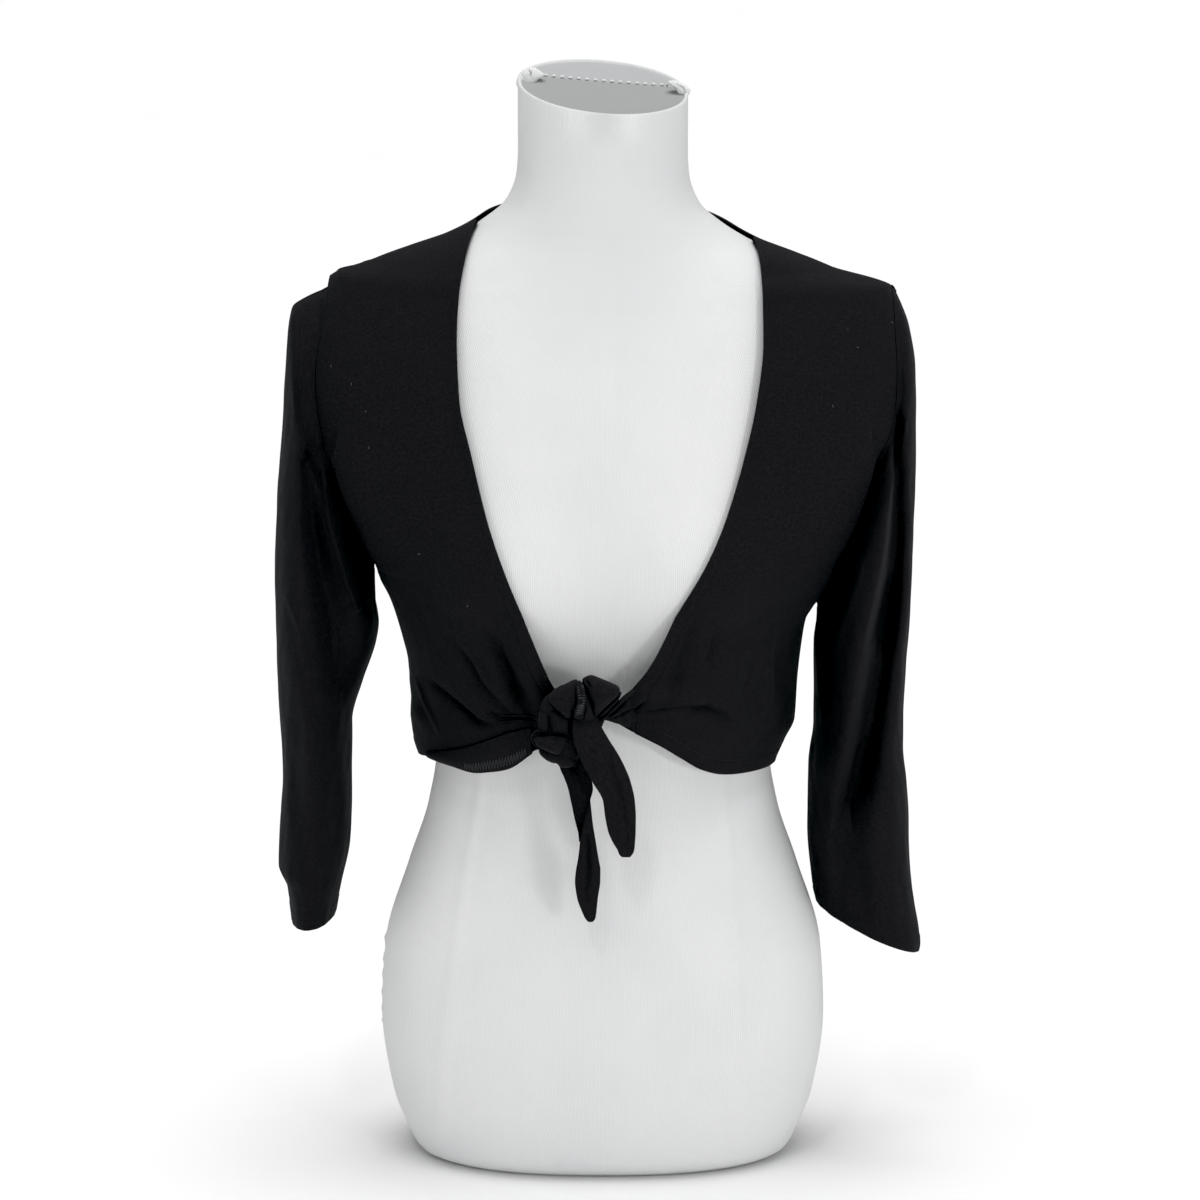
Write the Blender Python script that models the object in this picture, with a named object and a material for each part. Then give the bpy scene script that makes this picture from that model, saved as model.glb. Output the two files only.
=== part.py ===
"""Cropped knitted shrug with a tied front, worn on a limbless dress form.

Metres, +Z up. The origin is the middle of the form's flat base, and the front faces -Y.
The wearer's right is at -X. Heights are above the base. An angle round the form is measured from
the front (0) past a side (90 degrees) to the back (180 degrees), the same way on both sides.
"""
import math

import bmesh
import bpy
import numpy as np

RIGHT, LEFT = -1, 1
FRONT, BACK = -1, 1
QUARTER = math.pi / 2

# ---- driving dimensions ----
GAP = 0.0003            # between pieces that touch
WALL = 0.0014           # jersey, single
CLEAR = 0.0004          # from the form to the inside of cloth that rests on it
LIFT = 0.0013           # by which cloth rides above the sloping shoulders
BLEND = 0.0014          # width of the soft step from lying on the form to hanging clear of it

NECK_TOP = 0.7555       # height of the neck's rim at the axis
NECK_SLOPE = 0.27       # the rim falls this much towards the front, per metre
NECK_TILT = 0.065       # and this much towards the left
SHOULDER_TILT = 0.018   # the right shoulder stands a little higher
TILT_FROM, TILT_TO = 0.45, 0.62
SLOPE_FROM = 0.700
RIM_WIDTH = 0.0075
DISH = 0.0060           # the neck cap's dip in its middle
CAP_WALL = 0.0030

BUST_ANGLE, BUST_SPREAD = math.radians(37), math.radians(20)
BUST_HEIGHT, BUST_TALL, BUST_RISE = 0.425, 0.052, 0.017

SHOULDER_TIP = 0.620    # height of the armhole's top
UNDERARM = {RIGHT: 0.412, LEFT: 0.396}
NECK_POINT = {RIGHT: 0.661, LEFT: 0.6585}
TIE_TOP = 0.405         # where the fronts' rows begin to fan in to the knot
ARMHOLE_DEPTH = {FRONT: 0.033, BACK: 0.030}
PUSH_FROM = math.radians(38)    # where the fronts and back begin to leave the form for the armhole
BACK_NECK_RISE = 0.0125
BACK_HEM = 0.284
SEAM = GAP / 2

# ---- how finely each piece is divided ----
FORM_SIDES, FORM_RINGS = 48, 36
FRONT_COLUMNS, BACK_COLUMNS = 17, 24
SKIRT_ROWS, ARMHOLE_ROWS, SHOULDER_ROWS = 9, 10, 4
SLEEVE_RINGS = 20
STRAND_SIDES = 12


def table(columns, *rows):
    """Rows under named columns, as one array for each column."""
    return {name: np.array(values, float) for name, values in zip(columns.split(), zip(*rows))}


FORM = table(
    "height half_width front back roundness",
    (0.0000, 0.1240, 0.0760, 0.0930, 2.35),
    (0.0040, 0.1320, 0.0825, 0.1010, 2.35),
    (0.0160, 0.1385, 0.0900, 0.1090, 2.35),
    (0.0460, 0.1497, 0.0985, 0.1190, 2.35),
    (0.1000, 0.1570, 0.1030, 0.1250, 2.35),
    (0.1500, 0.1543, 0.1010, 0.1190, 2.35),
    (0.2080, 0.1374, 0.0950, 0.1020, 2.30),
    (0.2520, 0.1230, 0.0890, 0.0890, 2.25),
    (0.2900, 0.1172, 0.0870, 0.0830, 2.20),
    (0.3300, 0.1200, 0.0910, 0.0850, 2.20),
    (0.3800, 0.1310, 0.0990, 0.0920, 2.25),
    (0.4300, 0.1430, 0.1040, 0.1000, 2.30),
    (0.4900, 0.1550, 0.1000, 0.1060, 2.30),
    (0.5500, 0.1705, 0.0870, 0.1030, 2.15),
    (0.5850, 0.1800, 0.0760, 0.0950, 2.02),
    (0.6015, 0.1830, 0.0705, 0.0890, 1.95),
    (0.6100, 0.1822, 0.0675, 0.0855, 1.90),
    (0.6170, 0.1785, 0.0655, 0.0825, 1.86),
    (0.6225, 0.1720, 0.0635, 0.0795, 1.83),
    (0.6310, 0.1545, 0.0610, 0.0745, 1.80),
    (0.6400, 0.1310, 0.0585, 0.0690, 1.80),
    (0.6490, 0.1060, 0.0565, 0.0640, 1.83),
    (0.6610, 0.0840, 0.0555, 0.0590, 1.90),
    (0.6760, 0.0665, 0.0545, 0.0550, 2.00),
    (0.6940, 0.0595, 0.0535, 0.0525, 2.05),
    (0.7100, 0.0583, 0.0530, 0.0515, 2.05),
    (0.7600, 0.0583, 0.0530, 0.0515, 2.05),
)

CLOTH = table(      # how far the cloth hangs forward and back where it is clear of the form
    "height front back roundness",
    (0.2800, 0.1020, 0.0960, 2.20),
    (0.3000, 0.1100, 0.0975, 2.20),
    (0.3300, 0.1165, 0.0990, 2.20),
    (0.3600, 0.1175, 0.1005, 2.20),
    (0.4000, 0.1160, 0.1030, 2.25),
    (0.4400, 0.1120, 0.1060, 2.30),
    (0.5000, 0.0980, 0.1070, 2.30),
    (0.5500, 0.0850, 0.1030, 2.15),
    (0.6000, 0.0700, 0.0890, 1.95),
    (0.6700, 0.0500, 0.0550, 1.90),
)

REACH = {           # outer face of the side seam, and above the underarm of the armhole seam
    RIGHT: table(
        "height reach",
        (0.280, 0.1275), (0.298, 0.1333), (0.314, 0.1350), (0.328, 0.1320), (0.341, 0.1337),
        (0.370, 0.1404), (0.398, 0.1487), (0.412, 0.1545), (0.430, 0.1614), (0.455, 0.1693),
        (0.493, 0.1845), (0.507, 0.1915), (0.554, 0.1975), (0.596, 0.1915), (0.620, 0.1885),
    ),
    LEFT: table(
        "height reach",
        (0.280, 0.1195), (0.298, 0.1286), (0.312, 0.1350), (0.341, 0.1367), (0.370, 0.1399),
        (0.384, 0.1425), (0.396, 0.1495), (0.429, 0.1636), (0.460, 0.1746), (0.496, 0.1867),
        (0.530, 0.2000), (0.562, 0.2020), (0.586, 0.2010), (0.620, 0.1995),
    ),
}

NECKLINE = {        # front edge, from the knot up to the neck point
    RIGHT: table(
        "height across",
        (0.300, 0.0270), (0.350, 0.0285), (0.365, 0.0357), (0.392, 0.0471), (0.432, 0.0632),
        (0.471, 0.0767), (0.511, 0.0868), (0.549, 0.0952), (0.588, 0.0968), (0.613, 0.0956),
        (0.639, 0.0913), (0.651, 0.0880), (0.661, 0.0845),
    ),
    LEFT: table(
        "height across",
        (0.300, 0.0100), (0.345, 0.0115), (0.358, 0.0170), (0.378, 0.0310), (0.405, 0.0471),
        (0.445, 0.0700), (0.471, 0.0814), (0.511, 0.0936), (0.549, 0.1020), (0.588, 0.1064),
        (0.613, 0.1052), (0.639, 0.1015), (0.651, 0.0955), (0.6585, 0.0880),
    ),
}

HEM = {             # lower edge of each front, from the knot out to the side seam
    RIGHT: table(
        "across height",
        (0.0270, 0.3170), (0.0446, 0.3139), (0.0563, 0.3032), (0.0702, 0.2973), (0.0841, 0.2928),
        (0.1053, 0.2930), (0.1200, 0.2915), (0.1300, 0.2860),
    ),
    LEFT: table(
        "across height",
        (0.0100, 0.3345), (0.0250, 0.3249), (0.0386, 0.3169), (0.0524, 0.3069), (0.0663, 0.2968),
        (0.0802, 0.2909), (0.0943, 0.2885), (0.1088, 0.2866), (0.1200, 0.2845),
    ),
}

TURNED_HEM = table(     # the flipped hem on the right front
    "across top bottom",
    (0.0470, 0.3325, 0.3135),
    (0.0629, 0.3280, 0.3005),
    (0.0747, 0.3215, 0.2965),
    (0.0886, 0.3136, 0.2935),
    (0.1035, 0.3060, 0.2938),
    (0.1190, 0.2975, 0.2925),
)

SLEEVE_OUTER = {    # outer edge of the hanging sleeve
    RIGHT: table(
        "height reach",
        (0.1580, 0.2190), (0.1935, 0.2233), (0.2080, 0.2290), (0.2373, 0.2276), (0.2810, 0.2249),
        (0.3385, 0.2276), (0.4100, 0.2286), (0.4670, 0.2264), (0.5230, 0.2214), (0.5790, 0.2179),
        (0.5950, 0.2150), (0.6080, 0.2065), (0.6200, 0.1885),
    ),
    LEFT: table(
        "height reach",
        (0.1405, 0.2235), (0.1490, 0.2249), (0.1790, 0.2202), (0.2080, 0.2169), (0.2660, 0.2140),
        (0.2950, 0.2108), (0.3530, 0.2121), (0.3960, 0.2150), (0.5090, 0.2169), (0.5650, 0.2162),
        (0.5930, 0.2123), (0.6100, 0.2065), (0.6200, 0.1995),
    ),
}
SLEEVE_INNER = {    # inner edge of the hanging sleeve
    RIGHT: table(
        "height reach",
        (0.1620, 0.1920), (0.1935, 0.1857), (0.2227, 0.1795), (0.2520, 0.1779), (0.3100, 0.1770),
        (0.3385, 0.1692), (0.3670, 0.1598), (0.3815, 0.1575), (0.3960, 0.1588), (0.4120, 0.1550),
    ),
    LEFT: table(
        "height reach",
        (0.1715, 0.1542), (0.1935, 0.1491), (0.2370, 0.1451), (0.2800, 0.1454), (0.3100, 0.1490),
        (0.3670, 0.1485), (0.3840, 0.1500), (0.3960, 0.1500),
    ),
}
SLEEVE_GIRTH = {    # half depth of the sleeve, from the armhole (0) to the cuff (1)
    RIGHT: table(
        "along front back",
        (0.00, 0.033, 0.030), (0.12, 0.047, 0.045), (0.30, 0.056, 0.054), (0.55, 0.052, 0.051),
        (0.80, 0.047, 0.047), (1.00, 0.047, 0.046),
    ),
    LEFT: table(
        "along front back",
        (0.00, 0.033, 0.030), (0.12, 0.047, 0.045), (0.30, 0.056, 0.054), (0.55, 0.050, 0.050),
        (0.80, 0.042, 0.042), (1.00, 0.037, 0.037),
    ),
}
CUFF = {RIGHT: (0.168, 0.1715), LEFT: (0.1435, 0.1790)}    # height of its outer and inner edge
TURN_POWER = 1.8        # how fast the rings turn from upright at the armhole to level
SEAM_FADE = 0.30        # share of the sleeve over which the armhole's own curve dies away

# Creases. A row has its line seen from the front as (across, height) points, its half width at
# both ends and its rise, which is negative for a trough.
FRONT_FOLDS = {
    RIGHT: (
        (((0.0713, 0.401), (0.0566, 0.3614), (0.0440, 0.334)), 0.005, 0.009, -0.0060),
        (((0.0610, 0.405), (0.0480, 0.3700), (0.0400, 0.345)), 0.005, 0.006, 0.0030),
        (((0.0963, 0.3789), (0.0876, 0.3614), (0.0742, 0.3409), (0.0570, 0.3330)), 0.006, 0.007, -0.0045),
        (((0.1125, 0.3488), (0.0918, 0.3327), (0.0760, 0.3270)), 0.005, 0.006, -0.0030),
        (((0.1340, 0.345), (0.1280, 0.318)), 0.008, 0.006, 0.0030),
    ),
    LEFT: (
        (((0.0180, 0.3440), (0.0447, 0.3460), (0.0647, 0.3454), (0.0837, 0.3357)), 0.004, 0.006, -0.0045),
        (((0.0586, 0.3849), (0.0438, 0.3514)), 0.006, 0.007, -0.0035),
        (((0.0754, 0.4010), (0.0721, 0.3675)), 0.006, 0.006, -0.0030),
        (((0.0997, 0.3701), (0.1006, 0.3300)), 0.005, 0.007, -0.0030),
        (((0.1111, 0.3775), (0.1114, 0.3250)), 0.004, 0.006, 0.0025),
        (((0.1185, 0.3849), (0.1193, 0.3400)), 0.004, 0.006, -0.0025),
    ),
}
BACK_FOLDS = {
    RIGHT: (
        (((0.0300, 0.405), (0.0360, 0.330), (0.0330, 0.290)), 0.009, 0.012, -0.0040),
        (((0.0800, 0.430), (0.0880, 0.350), (0.0900, 0.292)), 0.007, 0.010, -0.0050),
        (((0.1080, 0.400), (0.1150, 0.330)), 0.008, 0.008, 0.0030),
        (((0.1500, 0.470), (0.1150, 0.440), (0.0900, 0.430)), 0.008, 0.006, -0.0030),
    ),
    LEFT: (
        (((0.0120, 0.380), (0.0080, 0.292)), 0.009, 0.012, 0.0040),
        (((0.0560, 0.420), (0.0620, 0.350), (0.0580, 0.290)), 0.008, 0.011, -0.0050),
        (((0.1000, 0.410), (0.1040, 0.330), (0.0980, 0.290)), 0.007, 0.010, -0.0040),
        (((0.1480, 0.455), (0.1150, 0.425), (0.0850, 0.418)), 0.008, 0.006, -0.0030),
    ),
}
SLEEVE_FOLDS = {
    (RIGHT, FRONT): (
        (((0.1879, 0.4527), (0.1800, 0.425), (0.1720, 0.3973)), 0.006, 0.005, 0.0050),
        (((0.1700, 0.4400), (0.1640, 0.3950)), 0.005, 0.007, -0.0050),
        (((0.2080, 0.5562), (0.2048, 0.5200)), 0.005, 0.006, -0.0030),
        (((0.1850, 0.3300), (0.1790, 0.2900)), 0.006, 0.006, -0.0040),
        (((0.2020, 0.3700), (0.1990, 0.2809), (0.1991, 0.2178)), 0.006, 0.008, 0.0040),
        (((0.2120, 0.3400), (0.2130, 0.2400)), 0.006, 0.006, -0.0035),
    ),
    (LEFT, FRONT): (
        (((0.1993, 0.4876), (0.1917, 0.4338), (0.1839, 0.3952), (0.1802, 0.3542), (0.1718, 0.3045),
          (0.1661, 0.2494)), 0.006, 0.007, 0.0050),
        (((0.2040, 0.4300), (0.1980, 0.3600), (0.1920, 0.3000), (0.1850, 0.2278)), 0.009, 0.011, -0.0080),
        (((0.1994, 0.4233), (0.2006, 0.3846)), 0.004, 0.005, 0.0025),
        (((0.2080, 0.5500), (0.2060, 0.5000)), 0.006, 0.006, -0.0025),
    ),
    (RIGHT, BACK): (
        (((0.1900, 0.480), (0.1850, 0.400), (0.1900, 0.300)), 0.007, 0.009, -0.0070),
        (((0.2120, 0.500), (0.2060, 0.380)), 0.006, 0.008, 0.0040),
        (((0.2050, 0.300), (0.2100, 0.200)), 0.006, 0.008, -0.0040),
    ),
    (LEFT, BACK): (
        (((0.1850, 0.470), (0.1740, 0.390), (0.1700, 0.290)), 0.007, 0.009, -0.0070),
        (((0.2050, 0.490), (0.1960, 0.370), (0.1880, 0.260)), 0.006, 0.008, 0.0040),
        (((0.1900, 0.280), (0.1950, 0.190)), 0.006, 0.008, -0.0040),
    ),
}

# The knot's lobes: each is a fold of cloth with its outline seen from the front as (across, height)
# points, anticlockwise, how far forward its rim lies, and how far it swells ahead of and behind it.
KNOT_LOBES = (
    ("core", -0.1290, 0.0100, 0.0092, (
        (-0.0424, 0.3447), (-0.0437, 0.3288), (-0.0391, 0.3171), (-0.0290, 0.3100), (-0.0189, 0.3100),
        (-0.0087, 0.3219), (-0.0020, 0.3370), (0.0040, 0.3447), (0.0101, 0.3571), (-0.0020, 0.3639),
        (-0.0222, 0.3639), (-0.0390, 0.3598))),
    ("upper_left", -0.1345, 0.0145, 0.0120, (
        (-0.0355, 0.3579), (-0.0338, 0.3531), (-0.0305, 0.3483), (-0.0261, 0.3442), (-0.0221, 0.3418),
        (-0.0174, 0.3418), (-0.0134, 0.3448), (-0.0114, 0.3496), (-0.0104, 0.3551), (-0.0110, 0.3620),
        (-0.0134, 0.3681), (-0.0174, 0.3695), (-0.0221, 0.3702), (-0.0274, 0.3695), (-0.0314, 0.3678),
        (-0.0345, 0.3647))),
    ("upper_right", -0.1335, 0.0130, 0.0110, (
        (-0.0125, 0.3616), (-0.0115, 0.3547), (-0.0110, 0.3478), (-0.0094, 0.3430), (-0.0060, 0.3434),
        (-0.0017, 0.3471), (0.0027, 0.3513), (0.0072, 0.3554), (0.0094, 0.3581), (0.0104, 0.3609),
        (0.0091, 0.3636), (0.0060, 0.3657), (0.0020, 0.3677), (-0.0020, 0.3694), (-0.0060, 0.3707),
        (-0.0089, 0.3711), (-0.0114, 0.3670))),
    ("strand", -0.1270, 0.0080, 0.0085, (
        (-0.0060, 0.3412), (0.0020, 0.3385), (0.0128, 0.3378), (0.0225, 0.3440), (0.0235, 0.3520),
        (0.0200, 0.3590), (0.0150, 0.3595), (0.0060, 0.3520))),
    ("wrap", -0.1289, 0.0125, 0.0125, (
        (-0.0436, 0.3391), (-0.0427, 0.3316), (-0.0369, 0.3300), (-0.0289, 0.3300), (-0.0208, 0.3310),
        (-0.0205, 0.3360), (-0.0228, 0.3425), (-0.0288, 0.3470), (-0.0369, 0.3474), (-0.0431, 0.3455))),
    ("lower", -0.1295, 0.0125, 0.0090, (
        (-0.0482, 0.3297), (-0.0482, 0.3265), (-0.0463, 0.3240), (-0.0423, 0.3213), (-0.0376, 0.3184),
        (-0.0336, 0.3180), (-0.0289, 0.3204), (-0.0248, 0.3250), (-0.0225, 0.3290), (-0.0240, 0.3320),
        (-0.0342, 0.3322), (-0.0423, 0.3318), (-0.0467, 0.3318))),
    ("under", -0.1290, 0.0085, 0.0080, (
        (-0.0440, 0.3225), (-0.0424, 0.3166), (-0.0384, 0.3121), (-0.0337, 0.3093), (-0.0290, 0.3076),
        (-0.0236, 0.3070), (-0.0182, 0.3075), (-0.0135, 0.3110), (-0.0155, 0.3190), (-0.0209, 0.3240),
        (-0.0303, 0.3230))),
)
LOBE_SIDES, LOBE_RINGS = 16, 9
LOBE_FULLNESS = 0.75    # below 1 a lobe fills out towards its outline, as rolled cloth does
TIE_END_FRONT = table(
    "height across forward width thick",
    (0.3400, -0.0110, -0.1424, 0.0185, 0.0060),
    (0.3208, -0.0053, -0.1425, 0.0240, 0.0062),
    (0.3055, 0.0015, -0.1425, 0.0245, 0.0065),
    (0.2925, 0.0071, -0.1410, 0.0240, 0.0065),
    (0.2780, 0.0111, -0.1390, 0.0220, 0.0060),
    (0.2620, 0.0124, -0.1370, 0.0200, 0.0060),
    (0.2500, 0.0148, -0.1355, 0.0150, 0.0050),
    (0.2445, 0.0165, -0.1350, 0.0070, 0.0035),
)
TIE_END_REAR = table(
    "height across forward width thick",
    (0.3064, -0.0205, -0.1275, 0.0150, 0.0060),
    (0.2959, -0.0178, -0.1275, 0.0150, 0.0070),
    (0.2793, -0.0143, -0.1280, 0.0120, 0.0080),
    (0.2591, -0.0110, -0.1280, 0.0100, 0.0085),
    (0.2417, -0.0098, -0.1275, 0.0150, 0.0065),
    (0.2257, -0.0107, -0.1270, 0.0165, 0.0060),
    (0.2096, -0.0118, -0.1265, 0.0125, 0.0050),
    (0.1990, -0.0092, -0.1260, 0.0060, 0.0035),
)


# ---- curves and surfaces ----
def smooth(rows, column, at, along="height"):
    """The column's value at a place along the rows, on a curve that never overshoots them."""
    x, y = rows[along], rows[column]
    step = np.diff(x)
    slope = np.diff(y) / step
    same_way = slope[:-1] * slope[1:] > 0
    total = np.where(same_way, slope[:-1] + slope[1:], 1.0)
    middle = np.where(same_way, 2 * slope[:-1] * slope[1:] / total, 0.0)
    tangent = np.concatenate((slope[:1], middle, slope[-1:]))
    i = np.clip(np.searchsorted(x, at) - 1, 0, len(step) - 1)
    t = np.clip((at - x[i]) / step[i], 0, 1)
    return ((1 + 2 * t) * (1 - t) ** 2 * y[i] + t * (1 - t) ** 2 * step[i] * tangent[i]
            + t * t * (3 - 2 * t) * y[i + 1] + t * t * (t - 1) * step[i] * tangent[i + 1])


def ease(t):
    """0 below 0, 1 above 1 and a soft step between."""
    t = np.clip(t, 0, 1)
    return t * t * (3 - 2 * t)


def larger(a, b):
    """The larger of two values, with a soft change from one to the other."""
    return (a + b + np.sqrt((a - b) ** 2 + BLEND ** 2)) / 2


def oval(angle, half_width, depth, roundness):
    """Distance from the axis to an oval whose corners fill out as roundness grows past 2."""
    wide = np.abs(np.sin(angle)) / half_width
    deep = np.abs(np.cos(angle)) / depth
    return (wide ** roundness + deep ** roundness) ** (-1 / roundness)


def facing(rows, angle, height):
    """The front column ahead of the sides and the back column behind them."""
    return np.where(np.cos(angle) > 0, smooth(rows, "front", height), smooth(rows, "back", height))


def form_radius(angle, height):
    """From the axis to the form's surface."""
    body = oval(angle, smooth(FORM, "half_width", height), facing(FORM, angle, height),
                smooth(FORM, "roundness", height))
    bust = np.exp(-((angle - BUST_ANGLE) / BUST_SPREAD) ** 2 - ((height - BUST_HEIGHT) / BUST_TALL) ** 2)
    return body + BUST_RISE * bust


def tilted(x, y, height):
    """A point's final height: the shoulders and the neck's rim aren't quite level."""
    shoulder = -SHOULDER_TILT * x * ease((height - TILT_FROM) / (TILT_TO - TILT_FROM))
    rim = (NECK_SLOPE * y - NECK_TILT * x) * ease((height - SLOPE_FROM) / (NECK_TOP - SLOPE_FROM))
    return height + shoulder + rim


def point(side, angle, radius, height):
    """The point at an angle round the form, on the given side."""
    x, y = side * radius * math.sin(angle), -radius * math.cos(angle)
    return x, y, float(tilted(x, y, height))


def crease(folds, across, height):
    """How far creases move the cloth outwards at a place seen from the front."""
    total = 0.0
    for line, width_start, width_end, rise in folds:
        lengths = [math.dist(a, b) for a, b in zip(line, line[1:])]
        whole = sum(lengths)
        nearest, place, run = 1.0, 0.0, 0.0
        for (ax, az), (bx, bz), length in zip(line, line[1:], lengths):
            t = ((across - ax) * (bx - ax) + (height - az) * (bz - az)) / length ** 2
            t = min(max(t, 0), 1)
            away = math.dist((across, height), (ax + t * (bx - ax), az + t * (bz - az)))
            if away < nearest:
                nearest, place = away, (run + t * length) / whole
            run += length
        width = width_start + (width_end - width_start) * place
        fade = math.sin(math.pi * (0.12 + 0.76 * place)) ** 0.7
        total += rise * fade * math.exp(-(nearest / width) ** 2)
    return total


def armhole_edge(side, face, height):
    """The (angle, radius) of a panel's outer edge: the armhole, or the side or shoulder seam."""
    share = (height - UNDERARM[side]) / (SHOULDER_TIP - UNDERARM[side])
    open_by = math.sqrt(max(1 - (2 * share - 1) ** 2, 0)) if 0 < share < 1 else 0.0
    depth = ARMHOLE_DEPTH[face] * open_by
    across = float(smooth(REACH[side], "reach", height)) - WALL
    return math.atan2(across, -face * depth), math.hypot(across, depth)


def resting(angle, height):
    """Radius of the inside of cloth that lies on the form or hangs from its fullest places."""
    form = form_radius(angle, height - LIFT) + CLEAR
    hanging = oval(angle, smooth(FORM, "half_width", height - LIFT) + CLEAR, facing(CLOTH, angle, height),
                   smooth(CLOTH, "roundness", height))
    return float(larger(form, hanging))


def cloth_radius(side, face, angle, height):
    """Radius of the inside of the cloth, with its creases."""
    edge_angle, edge_radius = armhole_edge(side, face, min(height, SHOULDER_TIP))
    base = resting(angle, height)
    turn = angle if face == FRONT else math.pi - angle
    edge_turn = edge_angle if face == FRONT else math.pi - edge_angle
    push = edge_radius - resting(edge_angle, min(height, SHOULDER_TIP))
    share = min(max((turn - PUSH_FROM) / (edge_turn - PUSH_FROM), 0), 1)
    above = float(ease((height - SHOULDER_TIP) / 0.012))
    base += push * share ** 2 * (1 - above)
    folds = FRONT_FOLDS if face == FRONT else BACK_FOLDS
    base += crease(folds[side], base * math.sin(angle), height)
    least = float(form_radius(angle, height - LIFT)) + CLEAR
    return float(larger(base, least)) if base - least < 2 * BLEND else base


def angle_at(side, face, across, height):
    """The angle at which the cloth is that far from the middle."""
    low, high = 0.0, armhole_edge(side, face, min(height, SHOULDER_TIP))[0]
    for _ in range(30):
        middle = (low + high) / 2
        if cloth_radius(side, face, middle, height) * math.sin(middle) < across:
            low = middle
        else:
            high = middle
    return (low + high) / 2


def row_heights(side):
    """Heights of a panel's rows at its outer edge, from the hem to the neck point."""
    hem = float(HEM[side]["height"][-1])
    skirt = [hem + (UNDERARM[side] - hem) * i / SKIRT_ROWS for i in range(SKIRT_ROWS)]
    armhole = [armhole_height(side, i) for i in range(ARMHOLE_ROWS + 1)]
    rise = NECK_POINT[side] - SHOULDER_TIP
    shoulder = [SHOULDER_TIP + rise * (i + 1) / SHOULDER_ROWS for i in range(SHOULDER_ROWS)]
    return skirt + armhole + shoulder


def armhole_height(side, i):
    """Rows crowd together at the top and the bottom of the armhole, where it bends."""
    share = (1 - math.cos(math.pi * i / ARMHOLE_ROWS)) / 2
    return UNDERARM[side] + (SHOULDER_TIP - UNDERARM[side]) * share


# ---- panels as points on a grid: u across, v up ----
def front_point(side, u, row):
    """A point on the inside of a front, u from 0 at its front edge to 1 at its outer edge."""
    outer = row_heights(side)[row]
    if row < SKIRT_ROWS:
        knot_end = float(HEM[side]["height"][0])
        inner = knot_end + (TIE_TOP - knot_end) * row / SKIRT_ROWS
    elif outer <= SHOULDER_TIP:
        share = (outer - UNDERARM[side]) / (SHOULDER_TIP - UNDERARM[side])
        inner = TIE_TOP + (SHOULDER_TIP - TIE_TOP) * share
    else:
        inner = outer
    start = angle_at(side, FRONT, float(smooth(NECKLINE[side], "across", inner)), inner)
    end = armhole_edge(side, FRONT, min(outer, SHOULDER_TIP))[0]
    angle = start + (end - start) * u
    height = inner + (outer - inner) * u
    if row < SKIRT_ROWS:
        up = TIE_TOP + (UNDERARM[side] - TIE_TOP) * u
        for _ in range(6):
            across = cloth_radius(side, FRONT, angle, height) * math.sin(angle)
            hem = float(smooth(HEM[side], "height", across, "across"))
            height = hem + (up - hem) * row / SKIRT_ROWS
    radius = cloth_radius(side, FRONT, angle, height)
    if end == QUARTER:
        angle -= SEAM / radius * ease((u - 0.5) * 2)
    return point(side, angle, radius, height)


def back_point(u, row):
    """A point on the inside of the back, u from 0 at the right seam to 1 at the left seam."""
    heights = {side: row_heights(side)[row] for side in (RIGHT, LEFT)}
    ends = {side: armhole_edge(side, BACK, min(heights[side], SHOULDER_TIP))[0] for side in (RIGHT, LEFT)}
    height = heights[RIGHT] + (heights[LEFT] - heights[RIGHT]) * u
    middle = math.sin(math.pi * u)
    if row < SKIRT_ROWS:
        height += (BACK_HEM - float(HEM[LEFT]["height"][-1])) * middle * (1 - row / SKIRT_ROWS)
    if row > SKIRT_ROWS + ARMHOLE_ROWS:
        height += BACK_NECK_RISE * middle ** 0.6 * (row - SKIRT_ROWS - ARMHOLE_ROWS) / SHOULDER_ROWS
    side = RIGHT if u < 0.5 else LEFT
    share = 1 - abs(2 * u - 1)
    angle = ends[side] + (math.pi - ends[side]) * share
    radius = cloth_radius(side, BACK, angle, height)
    if ends[side] == QUARTER:
        angle += SEAM / radius * ease(1 - share)
    return point(side, angle, radius, height)


def sleeve_frame(side, along):
    """Outer and inner edge of the sleeve's ring at a share of the way to the cuff."""
    tip, pit = SHOULDER_TIP, UNDERARM[side]
    cuff_outer, cuff_inner = CUFF[side]
    middle = (tip + pit) / 2 * (1 - along) + (cuff_outer + cuff_inner) / 2 * along
    rise = (tip - pit) * (1 - along) ** TURN_POWER + (cuff_outer - cuff_inner) * along
    outer, inner = middle + rise / 2, middle - rise / 2
    return (float(smooth(SLEEVE_OUTER[side], "reach", outer)), outer,
            float(smooth(SLEEVE_INNER[side], "reach", inner)), inner)


def seam_point(side, face, i):
    """A point on the outer face of the armhole seam, just clear of the panel's edge, and the ways
    out of the cloth and on from its edge there."""
    height = armhole_height(side, i)
    angle, radius = armhole_edge(side, face, height)
    step = 0.02 if face == FRONT else -0.02

    def at(turn, up):
        return np.array(point(side, turn, cloth_radius(side, face, turn, up), up))

    here, before = np.array(point(side, angle, radius, height)), at(angle - step, height)
    onward = (here - before) / np.linalg.norm(here - before)
    climb = at(angle - step, height + 0.004) - at(angle - step, height - 0.004)
    outward = np.cross(onward, climb) * side * (1 if face == FRONT else -1)
    outward /= np.linalg.norm(outward)
    return here, outward, onward


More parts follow.
